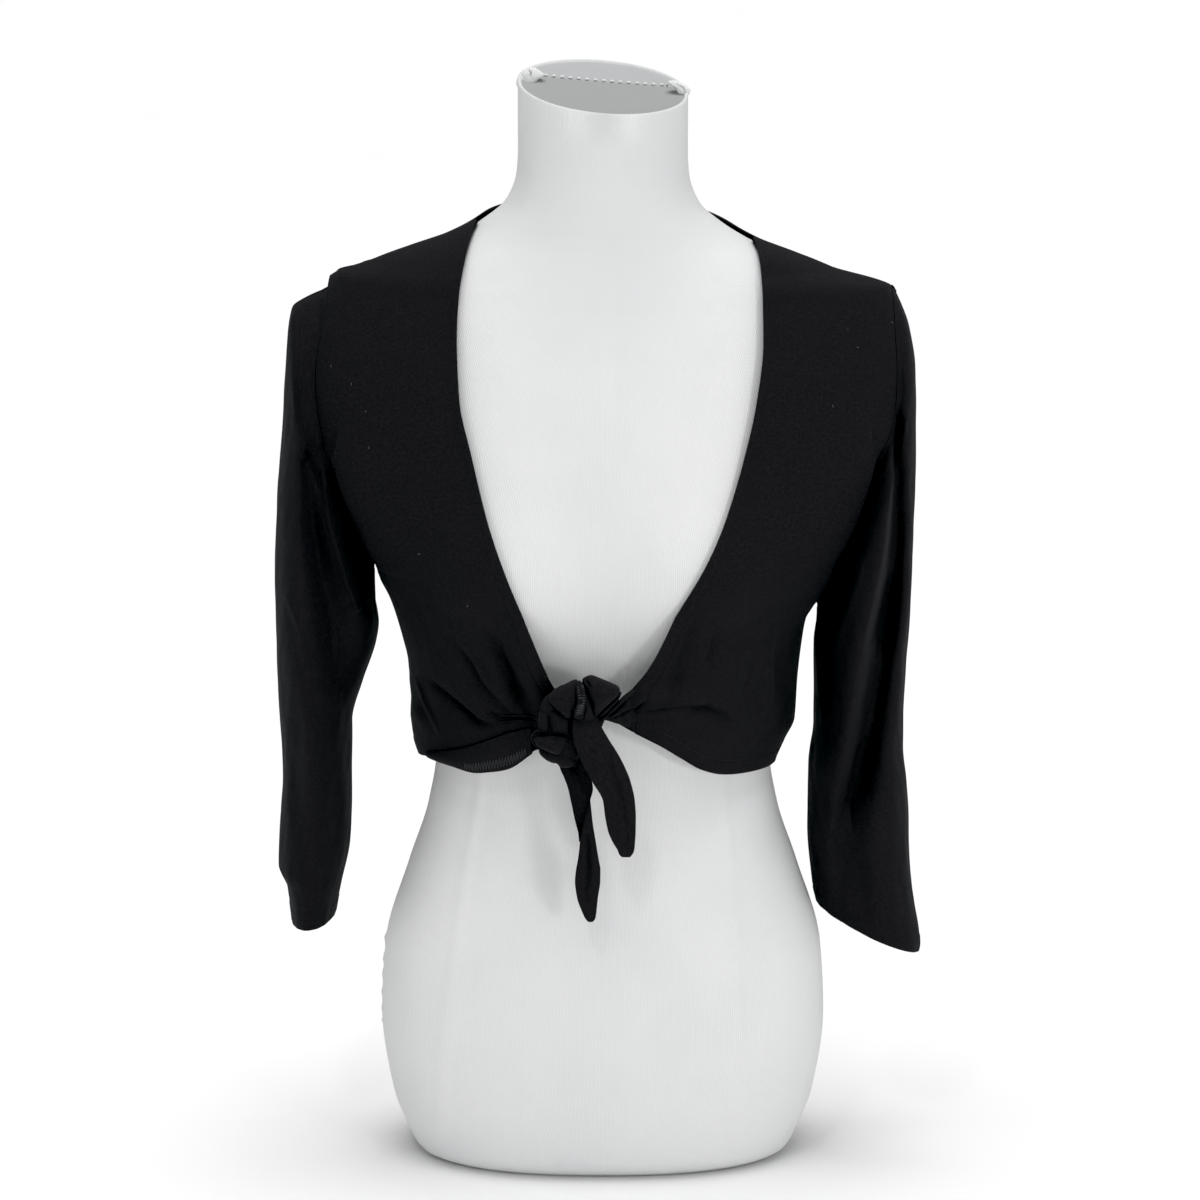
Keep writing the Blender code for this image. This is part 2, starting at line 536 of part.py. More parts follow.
def sleeve_point(side, face, i, along):
    """A point on the outside of a sleeve: i counts up from the underarm to the shoulder."""
    turn = math.pi * i / ARMHOLE_ROWS
    share = (1 - math.cos(turn)) / 2

    def ring(place):
        outer_x, outer_z, inner_x, inner_z = sleeve_frame(side, place)
        depth = float(smooth(SLEEVE_GIRTH[side], "front" if face == FRONT else "back", place, "along"))
        return np.array((side * (inner_x + (outer_x - inner_x) * share), face * depth * math.sin(turn),
                         inner_z + (outer_z - inner_z) * share))

    faces = (face,) if 0 < i < ARMHOLE_ROWS else (FRONT, BACK)
    here, outward, onward = sum(np.array(seam_point(side, each, i)) for each in faces) / len(faces)
    lead = float(ease(share / 0.25))
    onward = onward * lead + np.array((side * 0.25, 0, -1.0)) * (1 - lead)
    edge = here + outward * (WALL + GAP) + onward * GAP * 1.5
    spot = ring(along) + (edge - ring(0)) * max(1 - along / SEAM_FADE, 0) ** 2
    if along < 0.02:
        spot = edge + onward * 0.0020 * along / 0.01 if along > 0 else edge
    else:
        spot[1] += face * crease(SLEEVE_FOLDS[side, face], abs(spot[0]), spot[2]) * math.sin(turn) ** 0.5
        spot[2] = float(tilted(spot[0], spot[1], spot[2]))
    return spot


# ---- building ----
def material(name, colour, roughness):
    made = bpy.data.materials.new(name)
    made.use_nodes = True
    shader = made.node_tree.nodes["Principled BSDF"]
    shader.inputs["Base Color"].default_value = (*colour, 1)
    shader.inputs["Roughness"].default_value = roughness
    shader.inputs["Metallic"].default_value = 0
    return made


def finished(name, bm, finish):
    """The object made from a bmesh, in the scene."""
    mesh = bpy.data.meshes.new(name)
    bm.to_mesh(mesh)
    bm.free()
    mesh.shade_smooth()
    piece = bpy.data.objects.new(name, mesh)
    piece.data.materials.append(finish)
    bpy.context.collection.objects.link(piece)
    return piece


def give_wall(piece, thickness, outwards):
    """Thickens an open sheet to a closed wall, on its outer or its inner side."""
    wall = piece.modifiers.new("wall", "SOLIDIFY")
    wall.thickness = thickness
    wall.offset = 1 if outwards else -1
    wall.use_quality_normals = True


def sheet(name, columns, rows, place, finish):
    """A panel from a flat grid, each corner put where place(u, row) says, thickened outwards."""
    bm = bmesh.new()
    bmesh.ops.create_grid(bm, x_segments=columns, y_segments=rows, size=0.5)
    for vert in bm.verts:
        vert.co = place(vert.co.x + 0.5, round((vert.co.y + 0.5) * rows))
    face_away(bm, (0, 0))
    piece = finished(name, bm, finish)
    give_wall(piece, WALL, True)
    return piece


def face_away(bm, axis):
    """Turns an open skin's faces so that they look away from the upright axis at (x, y)."""
    bm.normal_update()
    outward = 0
    for face in bm.faces:
        middle = face.calc_center_median()
        outward += face.calc_area() * (face.normal.x * (middle.x - axis[0]) + face.normal.y * (middle.y - axis[1]))
    if outward < 0:
        bmesh.ops.reverse_faces(bm, faces=bm.faces)


def loft(rings, close_start=True, close_end=True):
    """A skin over rings of points, each extruded from the one before, with closed ends."""
    bm = bmesh.new()
    count = len(rings[0])
    verts = bmesh.ops.create_circle(bm, segments=count, radius=1)["verts"]
    loop = sorted(verts, key=lambda vert: math.atan2(vert.co.y, vert.co.x) % (2 * math.pi))
    edges = list(bm.edges)
    for vert, place in zip(loop, rings[0]):
        vert.co = place
    if close_start:
        bmesh.ops.contextual_create(bm, geom=edges)
    for ring in rings[1:]:
        made = bmesh.ops.extrude_edge_only(bm, edges=edges)["geom"]
        fresh = {item for item in made if isinstance(item, bmesh.types.BMVert)}
        above = {}
        for edge in bm.edges:
            low, high = edge.verts
            if (low in fresh) != (high in fresh):
                old, new = (high, low) if low in fresh else (low, high)
                above[old] = new
        loop = [above[vert] for vert in loop]
        edges = [item for item in made if isinstance(item, bmesh.types.BMEdge)
                 and item.verts[0] in fresh and item.verts[1] in fresh]
        for vert, place in zip(loop, ring):
            vert.co = place
    if close_end:
        bmesh.ops.contextual_create(bm, geom=edges)
    if close_start or close_end:
        bmesh.ops.recalc_face_normals(bm, faces=bm.faces)
    return bm


def even_heights(count):
    """Ring heights spaced evenly along the form's side, so the shoulders get their share."""
    fine = np.linspace(0, NECK_TOP, 800)
    side = smooth(FORM, "half_width", fine)
    run = np.concatenate(([0], np.cumsum(np.hypot(np.diff(fine), np.diff(side)))))
    return np.interp(np.linspace(0, run[-1], count), run, fine)


def full_turn(sides):
    """Signed side and angle of each corner of a ring, anticlockwise seen from above."""
    for i in range(sides):
        turn = 2 * math.pi * i / sides
        yield (LEFT, turn) if turn <= math.pi else (RIGHT, 2 * math.pi - turn)


def dress_form(finish):
    rings = []
    for height in even_heights(FORM_RINGS):
        rings.append([point(side, angle, float(form_radius(angle, height)), height)
                      for side, angle in full_turn(FORM_SIDES)])
    for inset, drop in ((0.0012, -0.0018), (0.0036, -0.0028), (0.0060, -0.0018), (RIM_WIDTH, 0.0020),
                        (0.0200, 0.0020 + DISH * 0.5), (0.0400, 0.0020 + DISH)):
        rings.append(neck_ring(inset, drop))
    return finished("dress_form", loft(rings), finish)


def neck_ring(inset, drop):
    """A ring inside the neck's rim, lowered by drop."""
    ring = []
    for side, angle in full_turn(FORM_SIDES):
        x, y, z = point(side, angle, float(form_radius(angle, NECK_TOP)) - inset, NECK_TOP)
        ring.append((x, y, z - drop))
    return ring


def neck_cap(finish):
    insets = ((RIM_WIDTH + 0.0006, 0.0020), (0.0200, 0.0020 + DISH * 0.5), (0.0400, 0.0020 + DISH))
    under = [neck_ring(inset, drop - GAP) for inset, drop in insets]
    over = [neck_ring(inset, drop - GAP - CAP_WALL) for inset, drop in insets]
    return finished("neck_cap", loft(under[::-1] + over), finish)


def sleeve(name, side, finish):
    places = [0.0, 0.01] + [0.035 + 0.965 * i / SLEEVE_RINGS for i in range(SLEEVE_RINGS + 1)]
    rings = []
    for along in places:
        front = [sleeve_point(side, FRONT, i, along) for i in range(ARMHOLE_ROWS + 1)]
        back = [sleeve_point(side, BACK, i, along) for i in range(ARMHOLE_ROWS - 1, 0, -1)]
        rings.append(front + back)
    bm = loft(rings, close_start=False, close_end=False)
    outer_x, _, inner_x, _ = sleeve_frame(side, 0.6)
    face_away(bm, (side * (outer_x + inner_x) / 2, 0))
    piece = finished(name, bm, finish)
    give_wall(piece, WALL, False)
    return piece


def turned_hem(finish):
    """The hem of the right front, flipped up on to the outside of the cloth."""
    inner, outer = TURNED_HEM["across"][0], TURNED_HEM["across"][-1]

    def place(u, row):
        across = inner + (outer - inner) * u
        top = float(smooth(TURNED_HEM, "top", across, "across"))
        bottom = float(smooth(TURNED_HEM, "bottom", across, "across"))
        height = bottom + (top - bottom) * row / 3
        angle = angle_at(RIGHT, FRONT, across, height)
        swell = 0.0025 * math.sin(math.pi * row / 3) * math.sin(math.pi * (0.15 + 0.7 * u))
        radius = cloth_radius(RIGHT, FRONT, angle, height) + (WALL + GAP) * 1.12 + 0.0006 + swell
        return point(RIGHT, angle, radius, height)

    return sheet("hem_turn_right", 14, 3, place, finish)


def tie_end(name, rows, finish):
    """One hanging end: a flat folded strip, laid through its table's sections."""
    rings = []
    columns = (rows[key] for key in ("height", "across", "forward", "width", "thick"))
    for height, across, forward, width, thick in zip(*columns):
        ring = []
        for i in range(STRAND_SIDES):
            turn = 2 * math.pi * i / STRAND_SIDES
            ring.append((across + width / 2 * math.cos(turn), forward + thick / 2 * math.sin(turn), height))
        rings.append(ring)
    return finished(name, loft(rings), finish)


def lobe(rim, ahead, behind, outline):
    """A rounded fold of cloth with that outline, as a bmesh."""
    across, height = np.array(outline).T
    middle = across.mean(), height.mean()
    turns = np.arctan2(height - middle[1], across - middle[0])
    reach = np.hypot(across - middle[0], height - middle[1])
    order = np.argsort(turns)
    bm = bmesh.new()
    bmesh.ops.create_uvsphere(bm, u_segments=LOBE_SIDES, v_segments=LOBE_RINGS, radius=1)
    for vert in bm.verts:
        turn = math.atan2(vert.co.y, vert.co.x)
        away = math.hypot(vert.co.x, vert.co.y) ** LOBE_FULLNESS
        away *= float(np.interp(turn, turns[order], reach[order], period=2 * math.pi))
        swell = vert.co.z * (ahead if vert.co.z > 0 else behind)
        vert.co = (middle[0] + away * math.cos(turn), rim - swell, middle[1] + away * math.sin(turn))
    bmesh.ops.recalc_face_normals(bm, faces=bm.faces)
    return bm


def tie_knot(finish):
    """Lobes of cloth wound round each other, as one solid."""
    knot = None
    for name, rim, ahead, behind, outline in KNOT_LOBES:
        bm = lobe(rim, ahead, behind, outline)
        piece = finished("tie_knot" if knot is None else "lobe_" + name, bm, finish)
        if knot is None:
            knot = piece
            continue
        piece.hide_render = True
        piece.display_type = "WIRE"
        join = knot.modifiers.new(name, "BOOLEAN")
        join.operation = "UNION"
        join.object = piece
    return knot


def build():
    for thing in list(bpy.data.objects):
        bpy.data.objects.remove(thing)
    cover = material("form_cover", (0.80, 0.81, 0.83), 0.85)
    cap = material("cap_cloth", (0.52, 0.55, 0.58), 0.90)
    jersey = material("jersey", (0.012, 0.012, 0.015), 0.90)
    rows = SKIRT_ROWS + ARMHOLE_ROWS + SHOULDER_ROWS
    dress_form(cover)
    neck_cap(cap)
    sheet("front_right", FRONT_COLUMNS, rows, lambda u, row: front_point(RIGHT, u, row), jersey)
    sheet("front_left", FRONT_COLUMNS, rows, lambda u, row: front_point(LEFT, u, row), jersey)
    sheet("back", BACK_COLUMNS, rows, back_point, jersey)
    sleeve("sleeve_right", RIGHT, jersey)
    sleeve("sleeve_left", LEFT, jersey)
    turned_hem(jersey)
    tie_knot(jersey)
    tie_end("tie_end_front", TIE_END_FRONT, jersey)
    tie_end("tie_end_rear", TIE_END_REAR, jersey)


build()
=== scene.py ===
"""Cropped black jersey shrug with a tied front, worn on a white limbless dress form: its finished look.

Metres, +Z up, in the model's own frame: the front faces -Y and the wearer's right is at -X. Heights
are above the base. An angle round the form is measured from the front (0) past a side (90 degrees) to
the back (180 degrees), the same way on both sides. Every cloth panel is a grid laid on the form's
surface, with u across it and v up it, and then thickened. Tables and creases give lengths in millimetres.
"""
import math
from functools import partial

import bmesh
import bpy
import numpy as np
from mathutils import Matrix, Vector


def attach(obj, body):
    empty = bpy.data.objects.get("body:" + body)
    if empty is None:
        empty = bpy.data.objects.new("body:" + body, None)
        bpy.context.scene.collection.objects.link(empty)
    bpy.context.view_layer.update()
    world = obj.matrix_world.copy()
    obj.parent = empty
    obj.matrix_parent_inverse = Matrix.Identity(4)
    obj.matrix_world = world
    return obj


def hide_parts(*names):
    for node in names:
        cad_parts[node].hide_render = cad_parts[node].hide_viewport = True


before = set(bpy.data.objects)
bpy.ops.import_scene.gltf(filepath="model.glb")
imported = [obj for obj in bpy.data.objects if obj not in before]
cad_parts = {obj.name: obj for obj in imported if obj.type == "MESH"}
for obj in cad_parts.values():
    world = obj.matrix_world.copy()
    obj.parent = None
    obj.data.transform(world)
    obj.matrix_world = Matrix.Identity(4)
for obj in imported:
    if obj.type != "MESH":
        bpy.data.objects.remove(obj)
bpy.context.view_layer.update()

MM = 0.001
RIGHT, LEFT = -1, 1
FRONT, BACK = -1, 1
QUARTER = math.pi / 2

# ---- sizes, as the model's own ----
GAP = 0.0003            # between pieces that touch
WALL = 0.0014           # jersey, single
CLEAR = 0.0004          # from the form to the inside of cloth that rests on it
LIFT = 0.0013           # by which cloth rides above the sloping shoulders
BLEND = 0.0014          # width of the soft step from lying on the form to hanging clear of it

NECK_TOP = 0.7530       # height of the neck's rim at the axis
NECK_SLOPE = 0.28       # the rim falls this much towards the front, per metre
NECK_TILT = 0.065       # and this much towards the left
SHOULDER_TILT = 0.018   # the right shoulder stands a little higher
TILT_FROM, TILT_TO = 0.45, 0.62
SLOPE_FROM = 0.700
LIP = 0.0028            # width of the cover's folded lip round the neck cap
DISH = 0.0008           # the neck cap's dip in its middle

BUST_ANGLE, BUST_SPREAD = math.radians(37), math.radians(20)
BUST_HEIGHT, BUST_TALL, BUST_RISE = 0.425, 0.052, 0.017

SHOULDER_TIP = 0.620    # height of the armhole's top
UNDERARM = {RIGHT: 0.4235, LEFT: 0.396}
NECK_POINT = {RIGHT: 0.661, LEFT: 0.6520}
TIE_TOP = 0.405         # where the fronts' rows begin to fan in to the knot
ARMHOLE_DEPTH = {FRONT: 0.033, BACK: 0.030}
PUSH_FROM = math.radians(38)    # where the fronts and back begin to leave the form for the armhole
BACK_NECK_TOP = 0.6745  # height of the neckline at the middle of the back
BACK_HEM = 0.284
SEAM = GAP / 2
SKIRT_ROWS, ARMHOLE_ROWS, SHOULDER_ROWS = 9, 10, 4
ROWS = SKIRT_ROWS + ARMHOLE_ROWS + SHOULDER_ROWS

# ---- how the edges are finished ----
ROUNDING = 0.32         # a rim's rounding, as a share of the wall
TURNED_FILL = 0.00035   # how far two layers fill a turned edge out
TURNED_STEP = 0.0015    # width of the step where the second layer ends
GROOVE, GROOVE_WIDTH = 0.0004, 0.0008   # what the stitching pulls in
NECK_TURNING = 0.0095   # width of the turned edge of the neckline
HEM_TURNING = 0.0100
CUFF_TURNING = 0.0126
BACK_HEM_ROWS = (0.0135, 0.0165)

PLAIN = ("roundness", "along", "share", "row", "ring")      # columns that aren't lengths


def table(columns, *rows):
    """Rows under named columns, as one array for each column: lengths go in as millimetres."""
    return {name: np.array(values, float) * (1 if name in PLAIN else MM)
            for name, values in zip(columns.split(), zip(*rows))}


FORM = table(           # half of its width, and how far it reaches ahead of and behind its axis
    "height half_width front back roundness",
    (0, 124, 76, 93, 2.35),
    (4, 132, 82.5, 101, 2.35),
    (16, 138.5, 90, 109, 2.35),
    (46, 149.7, 98.5, 119, 2.35),
    (100, 157, 103, 125, 2.35),
    (150, 154.3, 101, 119, 2.35),
    (208, 137.4, 95, 102, 2.30),
    (252, 123, 89, 89, 2.25),
    (290, 117.2, 87, 83, 2.20),
    (330, 120, 91, 85, 2.20),
    (380, 131, 99, 92, 2.25),
    (430, 143, 104, 100, 2.30),
    (490, 155, 100, 106, 2.30),
    (550, 170.5, 87, 103, 2.15),
    (585, 180, 76, 95, 2.02),
    (601.5, 183, 70.5, 89, 1.95),
    (610, 182.2, 67.5, 85.5, 1.90),
    (617, 178.5, 65.5, 82.5, 1.86),
    (622.5, 172, 63.5, 79.5, 1.83),
    (631, 154.5, 61, 74.5, 1.80),
    (640, 131, 58.5, 69, 1.80),
    (649, 106, 56.5, 64, 1.83),
    (661, 84, 55.5, 59, 1.90),
    (676, 66.5, 54.5, 55, 2.00),
    (694, 59.5, 53.5, 52.5, 2.05),
    (710, 58.3, 53, 51.5, 2.05),
    (760, 58.3, 53, 51.5, 2.05),
)

CLOTH = table(      # how far the cloth hangs forward and back where it is clear of the form
    "height front back roundness",
    (280, 102, 96, 2.20),
    (300, 110, 97.5, 2.20),
    (330, 116.5, 99, 2.20),
    (360, 117.5, 100.5, 2.20),
    (400, 116, 103, 2.25),
    (440, 112, 106, 2.30),
    (500, 98, 107, 2.30),
    (550, 85, 103, 2.15),
    (600, 70, 89, 1.95),
    (670, 50, 55, 1.90),
)

REACH = {           # outer face of the side seam, and above the underarm of the armhole seam
    RIGHT: table(
        "height reach",
        (280, 127.5), (298, 133.3), (314, 135), (328, 132), (341, 133.7),
        (370, 140.4), (398, 148.7), (412, 154.5), (430, 161.4), (455, 169.3),
        (493, 184.5), (507, 191.5), (554, 197.5), (596, 191.5), (620, 188.5),
    ),
    LEFT: table(
        "height reach",
        (280, 119.5), (298, 128.6), (312, 135), (341, 136.7), (370, 139.9),
        (384, 142.5), (396, 149.5), (429, 163.6), (460, 174.6), (496, 186.7),
        (530, 200), (562, 202), (586, 201), (620, 199.5),
    ),
}

NECKLINE = {        # front edge, from the knot up to the neck point
    RIGHT: table(
        "height across",
        (300, 27), (350, 28.5), (365, 35.7), (392, 47.1), (432, 63.2),
        (471, 76.7), (511, 86.8), (549, 95.2), (588, 96.8), (613, 95.6),
        (639, 91.3), (651, 88), (661, 84.5),
    ),
    LEFT: table(
        "height across",
        (300, 10), (345, 11.5), (358, 17), (378, 31), (405, 47.1),
        (445, 70), (471, 81.4), (511, 93.6), (549, 102), (588, 106.4),
        (613, 106.2), (633, 105.2), (643.5, 103.8), (652, 101.2),
    ),
}

HEM = {             # lower edge of each front, from the knot out to the side seam
    RIGHT: table(
        "across height",
        (27, 317), (44.6, 313.9), (56.3, 303.2), (70.2, 297.3), (84.1, 292.8),
        (105.3, 293), (120, 291.5), (130, 286),
    ),
    LEFT: table(
        "across height",
        (10, 334.5), (25, 324.9), (38.6, 316.9), (52.4, 306.9), (66.3, 296.8),
        (80.2, 290.9), (94.3, 288.5), (108.8, 286.6), (120, 284.5),
    ),
}

TURNED_HEM = table(     # the flipped hem on the right front
    "across top bottom",
    (47, 329.2, 311.5),
    (62.9, 324, 298.3),
    (74.7, 317.6, 294.3),
    (88.6, 309.8, 291.3),
    (103.5, 302.2, 292.5),
    (119, 295.2, 292.2),
)

SLEEVE_OUTER = {    # outer edge of the hanging sleeve
    RIGHT: table(
        "height reach",
        (158, 219), (193.5, 223.3), (208, 229), (237.3, 227.6), (281, 224.9),
        (338.5, 227.6), (410, 228.6), (467, 226.4), (523, 221.4), (579, 217.9),
        (595, 215), (608, 206.5), (620, 188.5),
    ),
    LEFT: table(
        "height reach",
        (140.5, 223.5), (149, 224.9), (179, 220.2), (208, 216.9), (266, 214),
        (295, 210.8), (353, 212.1), (396, 215), (509, 216.9), (565, 216.2),
        (593, 212.3), (610, 206.5), (620, 199.5),
    ),
}
SLEEVE_INNER = {    # inner edge of the hanging sleeve
    RIGHT: table(
        "height reach",
        (162, 192), (193.5, 185.7), (222.7, 179.5), (252, 177.9), (310, 177),
        (338.5, 169.2), (367, 159.8), (381.5, 157.5), (396, 159.2), (423.5, 158),
    ),
    LEFT: table(
        "height reach",
        (171.5, 154.2), (193.5, 149.1), (237, 145.1), (280, 145.4), (310, 149),
        (367, 148.5), (384, 150), (396, 150),
    ),
}
SLEEVE_GIRTH = {    # half depth of the sleeve, from the armhole (0) to the cuff (1)
    RIGHT: table(
        "along front back",
        (0.00, 33, 30), (0.12, 47, 45), (0.30, 56, 54), (0.55, 52, 51),
        (0.80, 47, 47), (1.00, 47, 46),
    ),
    LEFT: table(
        "along front back",
        (0.00, 33, 30), (0.12, 47, 45), (0.30, 56, 54), (0.55, 50, 50),
        (0.80, 42, 42), (1.00, 37, 37),
    ),
}
CUFF = {RIGHT: (0.168, 0.1715), LEFT: (0.1435, 0.1790)}    # height of its outer and inner edge
TURN_POWER = 1.8        # how fast the rings turn from upright at the armhole to level
SEAM_FADE = 0.30        # share of the sleeve over which the armhole's own curve dies away

# ---- creases ----
# A row has its line seen from the front as (across, height) points, its half width at both ends, its
# rise, which is negative for a trough, and, where its two sides differ, how many times as wide the side
# nearer the middle is.
PANEL_FOLDS = {
    (RIGHT, FRONT): (
        (((71.3, 401), (58.6, 361.4), (46, 334)), 5, 9, -2),
        (((61, 405), (48, 370), (40, 345)), 5, 6, 3),
        (((96.3, 378.9), (87.6, 361.4), (74.2, 340.9), (57, 333)), 5, 6, -2.6),
        (((112.5, 348.8), (91.8, 332.7), (76, 327)), 5, 6, -2),
        (((134, 345), (128, 318)), 8, 6, 3),
        (((77.5, 403), (71.5, 379.3), (64, 361.4), (54, 344.1)), 1.4, 5, -7.4, 1.7),
        (((104.4, 387.5), (92.5, 371.1), (84.6, 354.8), (67.3, 341.1), (59.4, 336.5)), 2.6, 4, -3.4),
        (((115.7, 348), (100.9, 338.4), (86.3, 328.9), (74.2, 328.9)), 2, 3.6, -3),
        (((88, 384), (79, 364), (70, 348)), 3, 3.4, -2.2),
        (((96, 343), (86, 335), (77, 333)), 1.6, 2.2, 1.4),
        (((83, 342), (73, 334), (64, 330)), 1.6, 2.2, -1.4),
        (((126.7, 344.3), (120.2, 327.8), (112, 315.1)), 1.8, 1.6, 1.4),
        (((104.3, 406.1), (101.7, 391)), 2, 2, -1),
        (((80, 336), (64, 334), (48, 335)), 1.4, 1.6, -1.8),
        (((183, 629), (177, 625), (172, 631)), 4, 4, 3.4),
        (((159, 639), (161, 631), (165, 624)), 2.6, 3, 2.2),
        (((179, 500), (161, 456), (155.5, 438), (152, 429)), 4, 4, 8, 5.0),
        (((135.3, 607.7), (141.9, 601.2), (152.3, 596.1), (161.3, 586.9)), 3, 4, -1.2),
    ),
    (LEFT, FRONT): (
        (((58, 342.5), (70, 342), (85, 333)), 4, 5, -2.6),
        (((20, 352), (42, 356), (62, 356)), 5, 6, 2),
        (((58.6, 384.9), (43.8, 351.4)), 6, 7, -2.2),
        (((75.4, 401), (72.1, 367.5)), 6, 6, -1.4),
        (((99.7, 370.1), (100.6, 330)), 5, 7, -1.8),
        (((111.1, 377.5), (111.4, 325)), 4, 6, 2.5),
        (((118.5, 384.9), (119.3, 340)), 4, 6, -1.2),
        (((19.6, 342.7), (28.9, 342.5), (41.9, 342.7), (63.5, 344.5)), 1.2, 1.4, -1.4),
        (((16, 344), (21.5, 344.6), (26, 347.5), (29, 350.5)), 1.2, 1.8, -2.8),
        (((62, 342.5), (70.9, 342.2), (77.6, 339.8), (83.8, 333.6)), 2.6, 2.8, -1.8),
        (((74.5, 405.8), (74.8, 392.1), (72.2, 377)), 2.2, 2.6, -1.8),
        (((61.9, 409), (55.5, 391.7), (49.5, 371.1), (44.6, 353)), 3.8, 3.4, -2),
        (((101, 370.5), (98.4, 356.8), (94.4, 347.3)), 2, 2.4, -1.2),
        (((107.7, 368.2), (105.2, 347.4), (106.6, 333.5)), 2.2, 2.2, -1.2),
        (((120.2, 383.5), (119.1, 345.2)), 2.4, 2.4, -1.2),
        (((181, 505), (167, 464), (159, 443), (154, 429)), 4, 4, 8, 5.0),
    ),
    (RIGHT, BACK): (
        (((30, 405), (36, 330), (33, 290)), 9, 12, -4),
        (((80, 430), (88, 350), (90, 292)), 7, 10, -5),
        (((108, 400), (115, 330)), 8, 8, 3),
        (((150, 470), (115, 440), (90, 430)), 8, 6, -3),
    ),
    (LEFT, BACK): (
        (((12, 380), (8, 292)), 9, 12, 4),
        (((56, 420), (62, 350), (58, 290)), 8, 11, -5),
        (((100, 410), (104, 330), (98, 290)), 7, 10, -4),
        (((148, 455), (115, 425), (85, 418)), 8, 6, -3),
    ),
}
SLEEVE_FOLDS = {
    (RIGHT, FRONT): (
        (((203, 500), (201.5, 482.5), (199.4, 454.7), (194, 423.3), (187.1, 391.7), (181.9, 350)),
         4.5, 11, -21.5, 1.7),
        (((192.3, 489.5), (187.8, 461.7), (181.2, 437.3), (175.3, 416.3), (169.3, 397.4)), 1.8, 2.2, 7.5),
        (((172.5, 397.4), (165.1, 401.2), (158.9, 404)), 2.4, 2.2, 4),
        (((176.8, 461.7), (168.9, 437.3), (163, 412.8)), 4, 6, -9),
        (((173.6, 317.6), (177.3, 296.3), (176.2, 271.4)), 2.4, 3, -4),
        (((218.1, 406.5), (208.7, 384.7), (203.5, 359.4)), 2.2, 3, 2.2),
        (((185.9, 391.7), (184.1, 370.6), (184.9, 360.1)), 2, 2, 2),
        (((208, 556.2), (204.8, 520)), 5, 6, -3),
        (((208, 350), (199, 280.9), (199.1, 217.8)), 6, 8, 3),
        (((214, 320), (212, 230)), 5, 6, -3.5),
        (((188, 290), (187, 210)), 5, 6, -4),
    ),
    (LEFT, FRONT): (
        (((201.2, 526.8), (201.5, 489.5), (200, 447.7), (195, 405.8), (189, 377.7)), 5, 13, -20, 0.40),
        (((196.5, 410), (189, 370.6), (184, 335.3), (179, 294.9), (173.5, 260.7)), 13, 15, -18, 0.45),
        (((179, 294.9), (173.5, 260.7), (170, 228.5), (169, 185)), 10, 15, -12.5, 0.70),
        (((199, 510), (197.6, 482.5), (193.8, 461.7), (189.5, 430.3), (183.5, 403.7), (177.5, 372),
          (173, 342.4), (169.5, 319), (165, 280.7), (160, 242.8)), 2.4, 4.4, 3.6, 3.6),
        (((188.4, 475.6), (177.8, 451.2), (166.4, 423.3), (156.4, 391.7)), 4, 6, -1.6),
        (((178, 433.8), (170, 405.8), (163.4, 384.7), (158, 370.6)), 2.6, 4, 2.6),
        (((205.5, 460), (202.5, 420), (196.5, 370), (189.5, 320), (183, 270)), 7, 9, -12.5),
        (((208, 550), (206, 520)), 5, 5, -2),
        (((180, 215), (185, 170)), 5, 7, -3),
    ),
    (RIGHT, BACK): (
        (((190, 480), (185, 400), (190, 300)), 7, 9, -7),
        (((212, 500), (206, 380)), 6, 8, 4),
        (((205, 300), (210, 200)), 6, 8, -4),
    ),
    (LEFT, BACK): (
        (((185, 470), (174, 390), (170, 290)), 7, 9, -7),
        (((205, 490), (196, 370), (188, 260)), 6, 8, 4),
        (((190, 280), (195, 190)), 6, 8, -4),
    ),
}


# ---- curves and surfaces ----
def smooth(rows, column, at, along="height"):
    """The column's value at a place along the rows, on a curve that never overshoots them."""
    x, y = rows[along], rows[column]
    step = np.diff(x)
    slope = np.diff(y) / step
    same_way = slope[:-1] * slope[1:] > 0
    total = np.where(same_way, slope[:-1] + slope[1:], 1.0)
    middle = np.where(same_way, 2 * slope[:-1] * slope[1:] / total, 0.0)
    tangent = np.concatenate((slope[:1], middle, slope[-1:]))
    i = np.clip(np.searchsorted(x, at) - 1, 0, len(step) - 1)
    t = np.clip((at - x[i]) / step[i], 0, 1)
    return ((1 + 2 * t) * (1 - t) ** 2 * y[i] + t * (1 - t) ** 2 * step[i] * tangent[i]
            + t * t * (3 - 2 * t) * y[i + 1] + t * t * (t - 1) * step[i] * tangent[i + 1])


def ease(t):
    """0 below 0, 1 above 1 and a soft step between."""
    t = np.clip(t, 0, 1)
    return t * t * (3 - 2 * t)


def bump_at(distance, width):
    """1 on a line, fading out to both sides of it."""
    return np.exp(-(distance / width) ** 2)


def larger(a, b):
    """The larger of two values, with a soft change from one to the other."""
    return (a + b + np.sqrt((a - b) ** 2 + BLEND ** 2)) / 2


def oval(angle, half_width, depth, roundness):
    """Distance from the axis to an oval whose corners fill out as roundness grows past 2."""
    wide = np.abs(np.sin(angle)) / half_width
    deep = np.abs(np.cos(angle)) / depth
    return (wide ** roundness + deep ** roundness) ** (-1 / roundness)


def facing(rows, angle, height):
    """The front column ahead of the sides and the back column behind them."""
    return np.where(np.cos(angle) > 0, smooth(rows, "front", height), smooth(rows, "back", height))


def form_radius(angle, height):
    """From the axis to the form's surface."""
    body = oval(angle, smooth(FORM, "half_width", height), facing(FORM, angle, height),
                smooth(FORM, "roundness", height))
    bust = np.exp(-((angle - BUST_ANGLE) / BUST_SPREAD) ** 2 - ((height - BUST_HEIGHT) / BUST_TALL) ** 2)
    return body + BUST_RISE * bust


